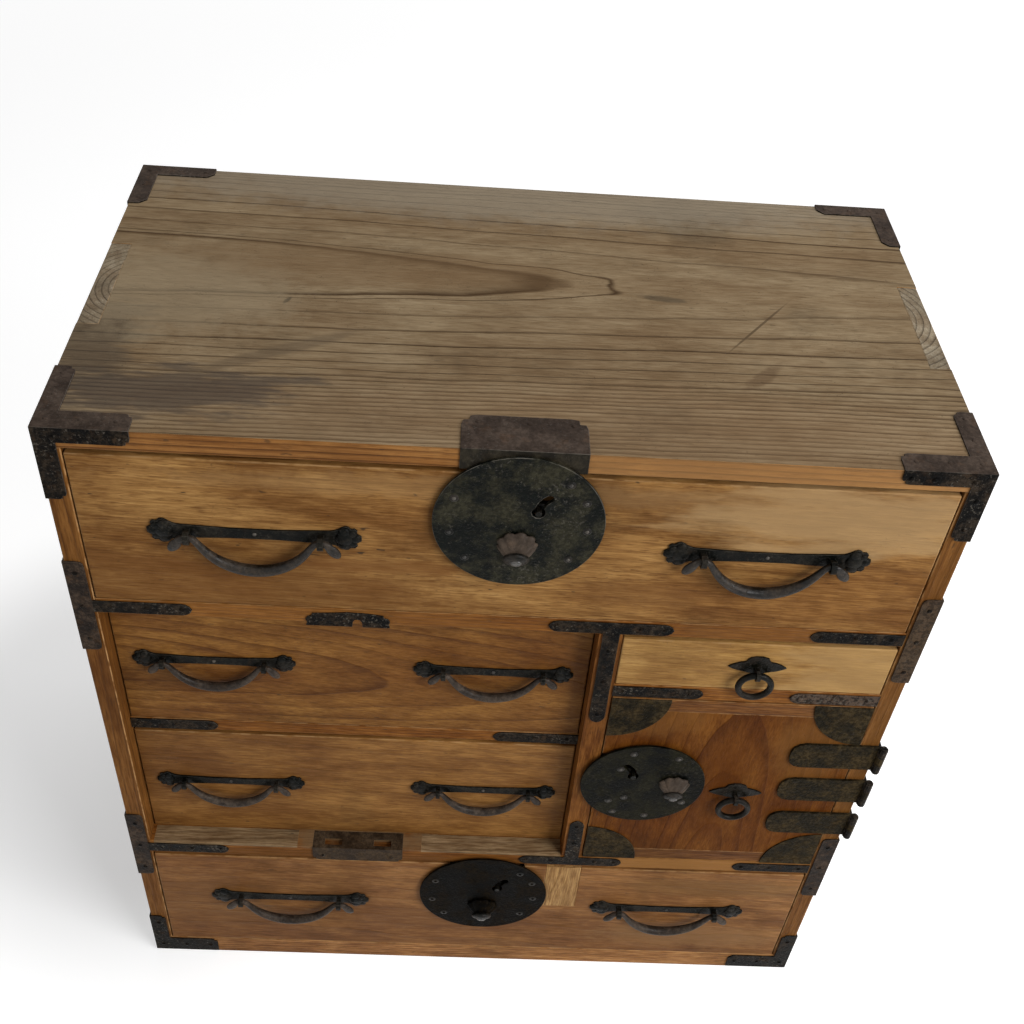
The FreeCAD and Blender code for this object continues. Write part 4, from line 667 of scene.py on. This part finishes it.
FORGED = Iron(
    "Forged bail iron", "brown_iron", (0.005, 0.004, 0.003), (0.028, 0.021, 0.015),
    rust=(0.05, 0.034, 0.024), rubbed=(0.12, 0.1, 0.085), flecks_and_glints=0.15, grit=0.35, gloss=0.18)
BROWN_BAIL = Iron(
    "Brown bail iron", "brown_iron", (0.02, 0.014, 0.01), (0.062, 0.046, 0.034),
    rust=(0.07, 0.046, 0.03), rubbed=(0.14, 0.118, 0.098), rust_share=0.35, flecks_and_glints=0.12, grit=0.25,
    rough=0.34, gloss=0.12)
RING = Iron(
    "Ring iron", "black_iron", (0.002, 0.002, 0.001), (0.014, 0.011, 0.008),
    rust=(0.03, 0.02, 0.014), rubbed=(0.08, 0.07, 0.06), rust_share=0.4, gloss=0.08)
BROWN = Iron(
    "Brown iron", "brown_iron", (0.03, 0.021, 0.016), (0.055, 0.04, 0.031),
    rust=(0.068, 0.041, 0.026), rubbed=(0.17, 0.155, 0.135), rust_share=0.45, flecks_and_glints=0.12,
    grit=0.18, rough=0.44, gloss=0.02, relief=0.0003)
DARK_BROWN = Iron(
    "Dark brown iron", "brown_iron", (0.012, 0.01, 0.007), (0.034, 0.028, 0.018),
    rust=(0.04, 0.028, 0.016), rubbed=(0.12, 0.105, 0.085), flecks_and_glints=0.12, grit=0.2, rough=0.4,
    relief=0.0003)
BAR_IRON = Iron(
    "Bar plate iron", "brown_iron", (0.026, 0.016, 0.009), (0.058, 0.038, 0.022),
    rust=(0.072, 0.042, 0.02), grit=0.25, rough=0.5)
GUARD = Iron(
    "Guard iron", "black_iron", (0.05, 0.037, 0.028), (0.083, 0.061, 0.045),
    rust=(0.1, 0.067, 0.045), rust_share=0.4, flecks_and_glints=0.15, grit=0.15, rough=0.36, relief=0.0003)
COLLAR = Iron(
    "Guard collar iron", "black_iron", (0.003, 0.003, 0.002), (0.022, 0.018, 0.014),
    rust_share=0.2, flecks_and_glints=0.15, gloss=0.12)
NOSE = Iron(
    "Polished nose", "black_iron", (0.018, 0.017, 0.015), (0.07, 0.065, 0.058), rust_share=0.1,
    flecks_and_glints=0.6, rough=0.2, gloss=0.45)
NAIL = Iron(
    "Nail iron", "black_iron", (0.015, 0.013, 0.01), (0.07, 0.06, 0.048), flecks_and_glints=0.6, rough=0.28,
    gloss=0.3)
HINGE = Iron(
    "Hinge iron", "brown_iron", (0.013, 0.01, 0.005), (0.042, 0.029, 0.013),
    rust=(0.054, 0.033, 0.014), flecks_and_glints=0.25, grit=0.4, rough=0.4, gloss=0.02, relief=0.001)


# ---- meshes

# Doubles within MERGE metres are merged.  Up to FLAT, faces are joined; from SHARP on, edges are
# worn.  A face looks a way if its normal goes more than FACING along it.  SWELL, in millimetres,
# makes up for what the smoothing of a forged piece takes off.
MERGE = 2e-6
FLAT = math.radians(1)
SHARP = math.radians(25)
FACING = 0.6
SWELL = 0.45


def stand(name: str, data: bpy.types.ID) -> Piece:
    """Put a new object with the data in the scene."""
    thing = bpy.data.objects.new(name, data)
    bpy.context.scene.collection.objects.link(thing)
    return thing


def to_mesh(name: str, shape: Shape) -> bpy.types.Mesh:
    """Write a bmesh to a new mesh and free it."""
    mesh = bpy.data.meshes.new(name)
    shape.to_mesh(mesh)
    shape.free()
    return mesh


def new_piece(name: str, shape: Shape, body: str, *finishes: Finish) -> Piece:
    """Make an object from a mesh, dress it and let it ride.

    Args:
        name: the piece's name.
        shape: its mesh, in place, which is freed here.
        body: the body that it rides on.
        finishes: its finishes, in the order of its faces' material numbers.

    Returns:
        The object.
    """
    mesh = to_mesh(name, shape)
    for finish in finishes:
        mesh.materials.append(finish.build())
    piece = stand(name, mesh)
    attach(piece, body)
    LOG.info("%s rides on %s: %d faces", name, body, len(mesh.polygons))
    return piece


def merged_copy(node: str) -> Shape:
    """A node's mesh with its doubles merged."""
    shape = bmesh.new()
    shape.from_mesh(frame["nodes"][node].data)
    bmesh.ops.remove_doubles(shape, verts=shape.verts[:], dist=MERGE)
    return shape


def close_holes(shape: Shape) -> None:
    """Put a face in every hole of a mesh."""
    edges = [edge for edge in shape.edges if edge.is_boundary]
    bmesh.ops.holes_fill(shape, edges=edges, sides=0)


def wear_edges(shape: Shape, width: float, segments: int) -> None:
    """Round a mesh's sharp outer edges and mark the rounding in the attribute "edge".

    Args:
        shape: the mesh.
        width: the rounding's width in millimetres.
        segments: how many strips it has.
    """
    bmesh.ops.dissolve_limit(shape, angle_limit=FLAT, verts=shape.verts[:],
                             edges=shape.edges[:])
    worn = [edge for edge in shape.edges
            if len(edge.link_faces) == 2 and edge.is_convex
            and edge.calc_face_angle() > SHARP]
    made = bmesh.ops.bevel(shape, geom=worn, offset=width * MM, offset_type="OFFSET",
                           segments=segments, profile=0.5, affect="EDGES", clamp_overlap=True,
                           material=-1)
    strips = set(made["faces"])
    layer = shape.verts.layers.float.new("edge")
    for face in strips:
        face.smooth = True
    for vert in shape.verts:
        vert[layer] = float(all(face in strips for face in vert.link_faces))


def worn_copy(node: str, finish: Finish, width: float, segments: int = 3,
              *ways: tuple[Point, Finish]) -> Piece:
    """Stand a copy with worn edges in for a node.

    Args:
        node: the node.
        finish: the copy's finish.
        width: the wear's width in millimetres.
        segments: the strips across the wear.
        ways: other finishes, each with the way that its faces look.

    Returns:
        The object.
    """
    shape = merged_copy(node)
    wear_edges(shape, width, segments)
    for index, (way, _) in enumerate(ways, start=1):
        for face in shape.faces:
            if face.normal.dot(Vector(way)) > FACING:
                face.material_index = index
    piece = new_piece(node + "_worn", shape, BODY_OF[node], finish,
                      *(other for _, other in ways))
    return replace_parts(piece, node)


def smooth_copy(node: str, finish: Iron) -> Piece:
    """Stand a smooth forged copy in for a node made of flat facets."""
    shape = merged_copy(node)
    bmesh.ops.join_triangles(shape, faces=shape.faces[:], angle_face_threshold=math.radians(50),
                             angle_shape_threshold=math.radians(80))
    shape.normal_update()
    for vert in shape.verts:
        vert.co += vert.normal * SWELL * MM
    for face in shape.faces:
        face.smooth = True
    piece = new_piece(node + "_forged", shape, BODY_OF[node], finish)
    smooth = piece.modifiers.new("Smooth", "SUBSURF")
    smooth.levels = smooth.render_levels = 2
    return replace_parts(piece, node)


def ball(shape: Shape, place: Point, turn: Matrix, size: Point, around: int = 12,
         rows: int = 7) -> None:
    """Add a smooth stretched ball to a mesh.

    Args:
        shape: the mesh.
        place: the ball's centre, in millimetres.
        turn: how it is turned.
        size: its half length along each axis, in millimetres.
        around: its faces around.
        rows: its rows of faces from pole to pole.
    """
    matrix = (Matrix.Translation(Vector(place) * MM) @ turn
              @ Matrix.Diagonal((*(length * MM for length in size), 1)))
    made = bmesh.ops.create_uvsphere(shape, u_segments=around, v_segments=rows, radius=1.0,
                                     matrix=matrix)
    for vert in made["verts"]:
        for face in vert.link_faces:
            face.smooth = True


def dome(shape: Shape, place: Point, towards: Point, radius: float, height: float) -> None:
    """Add a nail's head or a boss: a ball that stands out by its height in one way."""
    turn = Vector(towards).to_track_quat("Z", "Y").to_matrix().to_4x4()
    ball(shape, place, turn, (radius, radius, height))


@dataclass
class Nails:
    """Domed nails of one iron: their places, the way they look, and their size."""

    name: str
    body: str
    places: list[Point]
    towards: Point = FORWARD
    radius: float = 1.9
    height: float = 0.9
    finish: Iron = BLACK

    def build(self) -> Piece:
        """All the nails as one piece."""
        shape = bmesh.new()
        for place in self.places:
            dome(shape, place, self.towards, self.radius, self.height)
        return new_piece(self.name, shape, self.body, self.finish)


# ---- sub-assemblies


@dataclass
class Case:
    """The case: boards, rails and back.  The divider's mortise is cleared for the door's latch."""

    edge_wear: float = 0.9
    mortise_lip: Pair = (311, 312)
    mortise_room: float = 1.0

    def build(self) -> None:
        """Dress the boards."""
        worn_copy("top_board", TOP, 1, 3, (FORWARD, TOP_EDGE))
        for side, end in (("left", END_LEFT), ("right", END_RIGHT)):
            worn_copy("side_board_" + side, CASE, self.edge_wear, 3, (UPWARD, end))
        self.divider()
        worn_copy("bottom_board", BASE, self.edge_wear)
        for node in ("upper_rail", "lower_rail", "middle_rail_left", "middle_rail_right"):
            worn_copy(node, RAIL, 0.6)
        worn_copy("ledge_inlays", LEDGE, 0.25)
        worn_copy("dust_boards", INSIDE, 0.4, 2)
        worn_copy("back_boards", BACK, 0.5, 2)

    def divider(self) -> None:
        """The divider, its mortise cleared a little below for the door's latch."""
        shape = merged_copy("divider")
        low, high = self.mortise_lip
        lip = [vert for vert in shape.verts if low * MM < vert.co.z < high * MM]
        bmesh.ops.translate(shape, verts=lip, vec=(0, 0, -self.mortise_room * MM))
        wear_edges(shape, self.edge_wear, 3)
        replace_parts(new_piece("divider_worn", shape, "case", DIVIDER), "divider")


@dataclass
class CaseIrons:
    """The irons nailed to the case.

    The upper bar plate is cut anew: its outline is an arch over the middle, a bracket at each
    end and a crown, as points right of and above the middle of its foot.
    """

    sheet_wear: float = 0.25
    sheet: float = 1.2
    right: float = 294.0
    bar_split: float = 400.0
    bar_foot: Pair = (-111, 470)
    arch: tuple[Pair, ...] = ((3, 0), (3.4, 5), (5, 7.4), (8.2, 7.4), (9.8, 5), (10.2, 0))
    bracket: tuple[Pair, ...] = ((29.5, 0), (28.6, 3), (29.6, 6), (28, 9), (25.5, 9.4),
                                 (24.8, 12))
    crown: tuple[Pair, ...] = ((14, 13.6), (0, 14.2))

    def build(self) -> None:
        """Dress the irons and nail them."""
        thin = self.sheet_wear
        for node, finish, wear, *ways in (
                ("corner_irons_top", BROWN, thin, (FORWARD, BLACK)), ("side_bands", BAND, thin),
                ("corner_irons_bottom", BLACK, thin), ("rail_straps", BLACK, thin),
                ("divider_tees", BLACK, thin),
                ("lock_strike_plate", BROWN, 0.4, (FORWARD, DARK_BROWN)),
                ("hinge_side_leaves", BLACK, thin), ("hinge_pins", BLACK, thin)):
            worn_copy(node, finish, wear, 2, *ways)
        self.bar_plates()
        self.nail_front()
        self.nail_top()

    def bar_plates(self) -> None:
        """The two plates of the locking bar."""
        shape = merged_copy("bar_strikes")
        upper = [vert for vert in shape.verts if vert.co.z > self.bar_split * MM]
        bmesh.ops.delete(shape, geom=upper, context="VERTS")
        wear_edges(shape, self.sheet_wear, 2)
        lower = new_piece("bar_plate_lower", shape, "case", BAR_IRON)
        left = tuple((-x, z) for x, z in reversed(self.bracket))
        across, low = self.bar_foot
        plate = bmesh.new()
        corners = [plate.verts.new(Vector((across + x, FRONT, low + z)) * MM)
                   for x, z in (*self.arch, *self.bracket, *self.crown, *left)]
        made = bmesh.ops.extrude_face_region(plate, geom=[plate.faces.new(corners)])
        moved = [item for item in made["geom"] if isinstance(item, bmesh.types.BMVert)]
        bmesh.ops.translate(plate, verts=moved, vec=Vector(FORWARD) * self.sheet * MM)
        bmesh.ops.recalc_face_normals(plate, faces=plate.faces[:])
        wear_edges(plate, self.sheet_wear, 2)
        new_piece("bar_plate_upper", plate, "case", BLACK)
        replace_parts(lower, "bar_strikes")

    def nail_front(self) -> None:
        """The nails of the straps, bands and corners on the front."""
        face = FRONT - self.sheet
        inner = RECESSED - self.sheet
        front = []
        for side in (-1, 1):
            front += [(side * self.right, face, z) for z in (
                512, 479, 446, 212, 180, 146, 50, 12, 590, 615)]
            front += [(side * x, face, z) for x, z in (
                (288, 631), (262, 632), (247, 632), (272, 12), (250, 12))]
        rail = (-275, -250, -226, 36, 58, 96, 113, 225, 250, 276)
        for z, row in ((479.7, rail), (177.5, rail), (410.7, (92, 115, 142, *rail[-3:])),
                       (174, (-138, -80))):
            front += [(x, face, z) for x in row]
        front += [(75.5, face, z) for z in (455, 420, 382, 205, 230)]
        front += [(x, inner, 328.7) for x in (-277, -250, -224, 6, 32, 58)]
        Nails("front_nails", "case", front).build()

    def nail_top(self) -> None:
        """The nails of the corners and the strike plate on the top."""
        face = UPPER + self.sheet
        tops = [(side * x, y, face) for side in (-1, 1) for x, y in (
            (293, -157), (272, -157), (250, -157), (294, -133), (294, -111), (294, 158),
            (270, 159), (250, 159), (294, 135), (294, 115))]
        tops += [(x, -139, face) for x in (-28, 5, 33)]
        Nails("top_nails", "case", tops, UPWARD, 1.7, 0.7, BROWN).build()


@dataclass
class Handle:
    """A swinging handle: lobed plate, bosses and forged bail.

    A boss is its place outwards and upwards of the plate's end, its radius and its height.  A
    leaf's place is outwards of and below the plate's middle.
    """

    drawer: str
    side: str
    x: float
    z: float
    face: float
    ratio: float
    bail: Iron
    end: float = 60.0
    plate: float = 1.5
    bosses: tuple[tuple[float, float, float, float], ...] = (
        (-1, 0, 6.4, 2), (6.2, 0, 3.6, 1.6), (-1.5, 5.6, 4.2, 1.7),
        (-1.5, -5.6, 4.2, 1.7), (4, 4.2, 3, 1.3), (4, -4.2, 3, 1.3))
    nail_up: float = 0.3
    stand: float = 6.8
    leaf: Pair = (51.8, 7.5)
    leaf_turn: float = -37.0
    leaf_size: Point = (3.9, 2.2, 6.8)

    def build(self) -> None:
        """Smooth the bail, and put bosses and a nail on the plate."""
        swinging = f"{self.drawer}_bail_{self.side}"
        smooth_copy(swinging, self.bail)
        self.leaves(BODY_OF[swinging])
        face = self.face - self.plate
        shape = bmesh.new()
        for way in (-1, 1):
            for along, up, radius, high in self.bosses:
                dome(shape, (self.x + way * (self.end + along) * self.ratio, face,
                             self.z + up * self.ratio), FORWARD, radius * self.ratio, high)
        new_piece(f"{self.drawer}_bosses_{self.side}", shape, self.drawer, PLATE)
        Nails(f"{self.drawer}_handle_nail_{self.side}", self.drawer,
              [(self.x, face, self.z + self.nail_up)], FORWARD, 1.5, 1, NAIL).build()

    def leaves(self, body: str) -> None:
        """The bail's ends, hammered out to leaves that ride on its body."""
        shape = bmesh.new()
        size = tuple(length * self.ratio for length in self.leaf_size)
        out, down = self.leaf
        for way in (-1, 1):
            place = (self.x + way * out * self.ratio, self.face - self.stand * self.ratio,
                     self.z - down * self.ratio)
            turn = Matrix.Rotation(way * math.radians(self.leaf_turn), 4, "Y")
            ball(shape, place, turn, size, 14, 10)
        new_piece(f"{self.drawer}_leaves_{self.side}", shape, body, self.bail)


@dataclass
class Lock:
    """A round lock: plate, ringed nails, and a fluted key guard with its nose.

    The node's own guard is taken off: what stands further out than the plate's skin, and its
    trace around old_guard.  The new guard's rim is a fan, a share of guard_size that the flutes
    add to, with some corners to a petal.  Each of its rows gives how far it stands out, how it
    grows and how it drops.
    """

    node: str
    body: str
    x: float
    z: float
    face: float
    finish: Iron
    nails: list[Pair]
    old_guard: Pair = (0, -31)
    guard: Pair = (0, -17.5)
    guard_size: Pair = (14.6, 12)
    guard_finish: Iron = GUARD
    nail: Iron = NAIL
    skin: float = 0.2
    old_radius: float = 18.5
    sunk: float = 0.3
    petals: int = 9
    corners: int = 8
    rim: Pair = (0.7, 0.12)
    plain_flute: float = 0.6
    guard_rows: tuple[Point, ...] = (
        (1.5, 1.18, 0), (0.9, 0.97, 0.2), (1.6, 0.84, 2.4), (1.6, 0.7, 3), (0.8, 0.6, 1.2))
    full_size: float = 15.2
    nose_way: Point = (0, -0.9, -0.45)

    def build(self) -> None:
        """Dress the plate and put its guard and nails on."""
        shape = merged_copy(self.node)
        middle = Vector((self.x + self.old_guard[0], 0, self.z + self.old_guard[1])) * MM
        flat = Vector((1, 0, 1))
        proud = [face for face in shape.faces
                 if any(vert.co.y < (self.face - self.skin) * MM for vert in face.verts)
                 or all((vert.co * flat - middle).length < self.old_radius * MM
                        for vert in face.verts)]
        bmesh.ops.delete(shape, geom=proud, context="FACES")
        close_holes(shape)
        wear_edges(shape, 0.5, 2)
        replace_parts(new_piece(self.node + "_worn", shape, self.body, self.finish), self.node)
        self.fan()
        self.nose()
        places = [(self.x + x, self.face, self.z + z) for x, z in self.nails]
        Nails(self.node + "_nail_rings", self.body, places, FORWARD, 3.2, 0.5, COLLAR).build()
        Nails(self.node + "_nails", self.body, places, FORWARD, 1.5, 1.2, self.nail).build()

    def fan(self) -> None:
        """The guard: a fluted fan that stands off the plate and narrows to its collar."""
        shape = bmesh.new()
        middle = Vector((self.x + self.guard[0], self.face + self.sunk, self.z + self.guard[1]))
        half, tall = self.guard_size
        made = bmesh.ops.create_circle(
            shape, cap_ends=True, segments=self.petals * self.corners, radius=1.0,
            matrix=Matrix.Translation(middle * MM) @ Matrix.Rotation(math.radians(90), 4, "X"))
        for vert in made["verts"]:
            away = vert.co - middle * MM
            angle = math.atan2(away.z, away.x)
            flute = abs(math.cos(angle * self.petals / 2.0)) if angle > 0.0 else self.plain_flute
            reach = (self.rim[0] + self.rim[1] * flute) * MM
            vert.co = middle * MM + Vector((away.x * half, 0, away.z * tall)) * reach
        cap = shape.faces[:][0]
        for out, grow, drop in self.guard_rows:
            step = Vector((0, -out, -drop))
            cap = bmesh.ops.extrude_discrete_faces(shape, faces=[cap])["faces"][0]
            bmesh.ops.scale(shape, vec=(grow, 1, grow), verts=cap.verts[:],
                            space=Matrix.Translation(-middle * MM))
            bmesh.ops.translate(shape, vec=step * MM, verts=cap.verts[:])
            middle += step
        close_holes(shape)
        bmesh.ops.recalc_face_normals(shape, faces=shape.faces[:])
        for face in shape.faces:
            face.smooth = len(face.verts) == 4
        new_piece(self.node + "_guard", shape, self.body, self.guard_finish)

    def nose(self) -> None:
        """The collar and the polished nose at the foot of the fan."""
        size = self.guard_size[0] / self.full_size
        for name, out, drop, radius, high, finish in (("collar", 4.6, 10.2, 9.6, 3.6, COLLAR),
                                                      ("nose", 7.2, 10.9, 4.6, 2.2, NOSE)):
            shape = bmesh.new()
            dome(shape, (self.x + self.guard[0], self.face - out, self.z + self.guard[1] - drop),
                 self.nose_way, radius * size, high)
            new_piece(f"{self.node}_{name}", shape, self.body, finish)


@dataclass
class Drawer:
    """A drawer: front, box, handles and, on some, a lock."""

    name: str
    finish: Wood
    face: float = FRONT
    handles: tuple[Pair, ...] = ()
    ratio: float = 1.0
    lock: Lock | None = None
    bail: Iron = BROWN_BAIL

    def build(self) -> None:
        """Dress the drawer's pieces; its handles are given from left to right."""
        worn_copy(self.name + "_front", self.finish, 1.1, 3)
        worn_copy(self.name + "_box", INSIDE, 0.5, 2, (FORWARD, INSIDE_ACROSS),
                  (BACKWARD, INSIDE_ACROSS))
        if self.handles:
            worn_copy(self.name + "_handle_plates", PLATE, 0.3, 2)
        for side, (x, z) in zip(("left", "right"), self.handles):
            Handle(self.name, side, x, z, self.face, self.ratio, self.bail).build()
        if self.lock:
            self.lock.build()
            worn_copy(self.name + "_latch", RING, 0.2, 2)


@dataclass
class Door:
    """The door: panel, battens, irons, lock and ring pull."""

    lock: Lock

    def build(self) -> None:
        """Dress the door's pieces."""
        worn_copy("door_panel", DOOR, 0.6)
        worn_copy("door_battens", BATTEN, 0.6)
        for name, finish, wear in (("corner_plates", HINGE, 0.25), ("hinge_straps", HINGE, 0.4),
                                   ("ring_plate", RING, 0.3), ("latch", RING, 0.2)):
            worn_copy("door_" + name, finish, wear, 2)
        smooth_copy("door_ring", RING)
        self.lock.build()


@dataclass
class Studio:
    """The pale floor, the soft lamps and the camera, in metres.

    The floor glows where it is seen.  Its glow is less to the chest's left, a painted shadow, and
    more far off.
    Each lamp has a name, a place, a size and a power.
    """

    pale: Colour = (0.6, 0.6, 0.6)
    half_floor: float = 12.0
    # Centre and reach of the shadow painted into the floor's glow, in metres.
    painted_shadow_centre: Point = (-0.36, 0.1, 0)
    painted_shadow_edge: Pair = (0.18, 0.36)
    floor_glow: Pair = (0.45, 0.7)
    far_edge: Pair = (1.2, 4)
    far_glow: float = 0.3
    haze: float = 0.07
    lens: float = 44.446
    sensor: float = 36.0
    place: Point = (-0.04153, -0.76447, 1.14162)
    forward: Point = (0.04718, 0.73293, -0.67867)
    roll: float = 5.214
    lit: Point = (0, 0, 0.35)
    lamps: tuple[tuple[str, Point, float, float], ...] = (
        ("key", (1.6, -1.4, 1.6), 1.4, 54), ("fill", (-1.6, -1.7, 1.2), 2.2, 9.5),
        ("over", (0.5, 0.5, 2.4), 1.8, 31))

    def build(self) -> None:
        """Set up all of it."""
        self.floor()
        self.world()
        for name, place, size, power in self.lamps:
            self.lamp(name, place, size, power)
        self.camera()
        bpy.context.scene.view_settings.view_transform = "Standard"

    def floor(self) -> None:
        """A large pale floor that keeps the chest's shadow, with a painted shadow in its glow to
        the chest's left.
        """
        shape = bmesh.new()
        bmesh.ops.create_grid(shape, x_segments=1, y_segments=1, size=self.half_floor)
        mesh = to_mesh("floor", shape)
        material, tree, shader = new_material("Pale floor")
        place = tree.vector("SUBTRACT", tree.add("TexCoord").outputs["Object"], self.painted_shadow_centre)
        away = tree.vector("LENGTH", place)
        # Painted shadow: the seen glow is floor_glow's first value near the chest's left and its
        # second further off.
        glow = tree.maths("ADD", tree.remap(away, *self.painted_shadow_edge, *self.floor_glow),
                          tree.remap(away, *self.far_edge, 0, self.far_glow))
        glow = tree.maths("MULTIPLY", self.seen(tree), glow)
        for name, value in (("Base Color", self.pale), ("Roughness", 0.9),
                            ("Specular IOR Level", 0), ("Emission Color", (1, 1, 1)),
                            ("Emission Strength", glow)):
            tree.feed(shader[name], value)
        mesh.materials.append(material)
        stand("floor", mesh)

    def world(self) -> None:
        """Soft light from all round, white where it is seen."""
        world = bpy.data.worlds.new("Studio")
        bpy.context.scene.world = world
        world.use_nodes = True
        tree = Tree(world.node_tree)
        back = world.node_tree.nodes["Background"].inputs
        tree.feed(back["Color"], (1, 1, 1))
        tree.feed(back["Strength"],
                  tree.maths("MULTIPLY_ADD", self.seen(tree), 1.0 - self.haze, self.haze))

    def seen(self, tree: Tree) -> Socket:
        """1 where the background is looked at, mirrored or seen through glass, and else 0."""
        path = tree.add("LightPath").outputs
        mirrored = tree.maths("MAXIMUM", path["Is Camera Ray"], path["Is Glossy Ray"])
        return tree.maths("MAXIMUM", mirrored, path["Is Transmission Ray"])

    def lamp(self, name: str, place: Point, size: float, power: float) -> None:
        """Hang a soft square lamp, sized in metres, that looks at the chest; power is in watts."""
        light = bpy.data.lights.new(name, "AREA")
        light.size = size
        light.energy = power
        lamp = stand(name, light)
        lamp.location = place
        aim = Vector(self.lit) - Vector(place)
        lamp.rotation_euler = aim.to_track_quat("-Z", "Y").to_euler()

    def camera(self) -> None:
        """The camera, above the front of the chest and looking down at it."""
        data = bpy.data.cameras.new("camera")
        data.lens = self.lens
        data.sensor_width = self.sensor
        camera = stand("camera", data)
        ahead = Vector(self.forward).normalized()
        level = ahead.cross(Vector(UPWARD)).normalized()
        turn = math.radians(self.roll)
        right = level * math.cos(turn) + level.cross(ahead) * math.sin(turn)
        basis = Matrix((right, right.cross(ahead), -ahead)).transposed().to_4x4()
        camera.matrix_world = Matrix.Translation(Vector(self.place)) @ basis
        bpy.context.scene.camera = camera


def main() -> None:
    """Build every sub-assembly."""
    logging.basicConfig(level=logging.INFO, format="%(name)s: %(message)s")
    Case().build()
    CaseIrons().build()
    nails = [(42.4, 21), (45, -3.6), (35, -30), (-34, -32), (-45, -9.5), (-42.8, 20.4), (30.8, 36)]
    top_lock = Lock("top_drawer_lock_plate", "top_drawer", 2, 579, FRONT - 3.5, LOCK, nails)
    bottom_lock = Lock("bottom_drawer_lock_plate", "bottom_drawer", 2, 122, FRONT - 3.5,
                       DARK_LOCK, nails, guard_finish=DARK_LOCK, nail=DARK_LOCK)
    door_lock = Lock(
        "door_lock_plate", "door", 121.5, 298, FRONT - 3.8, DOOR_LOCK,
        [(-20, 20), (-12, 40), (24, 36), (-25, -23), (-20, -38), (7, -42), (35, -22), (-13, -18)],
        (25, -9.5), (25, 3.6), (13.4, 10))
    Drawer("top_drawer", DRAWER_TOP, FRONT, ((-170.2, 556.8), (170.2, 556.8)), 1, top_lock,
           FORGED).build()
    for name, finish, z in (("upper_left_drawer", DRAWER_UPPER, 407.8),
                            ("lower_left_drawer", DRAWER_LOWER, 255.55)):
        Drawer(name, finish, RECESSED, ((-213, z), (-5, z)), 0.86).build()
    Drawer("small_drawer", DRAWER_SMALL).build()
    worn_copy("small_drawer_ring_plate", RING, 0.3, 2)
    smooth_copy("small_drawer_ring", RING)
    Drawer("bottom_drawer", DRAWER_BOTTOM, FRONT, ((-170.2, 102.8), (170.2, 102.8)), 1,
           bottom_lock).build()
    worn_copy("bottom_drawer_patch", PATCH, 0.3, 2)
    Door(door_lock).build()
    Studio().build()


if __name__ == "__main__":
    main()
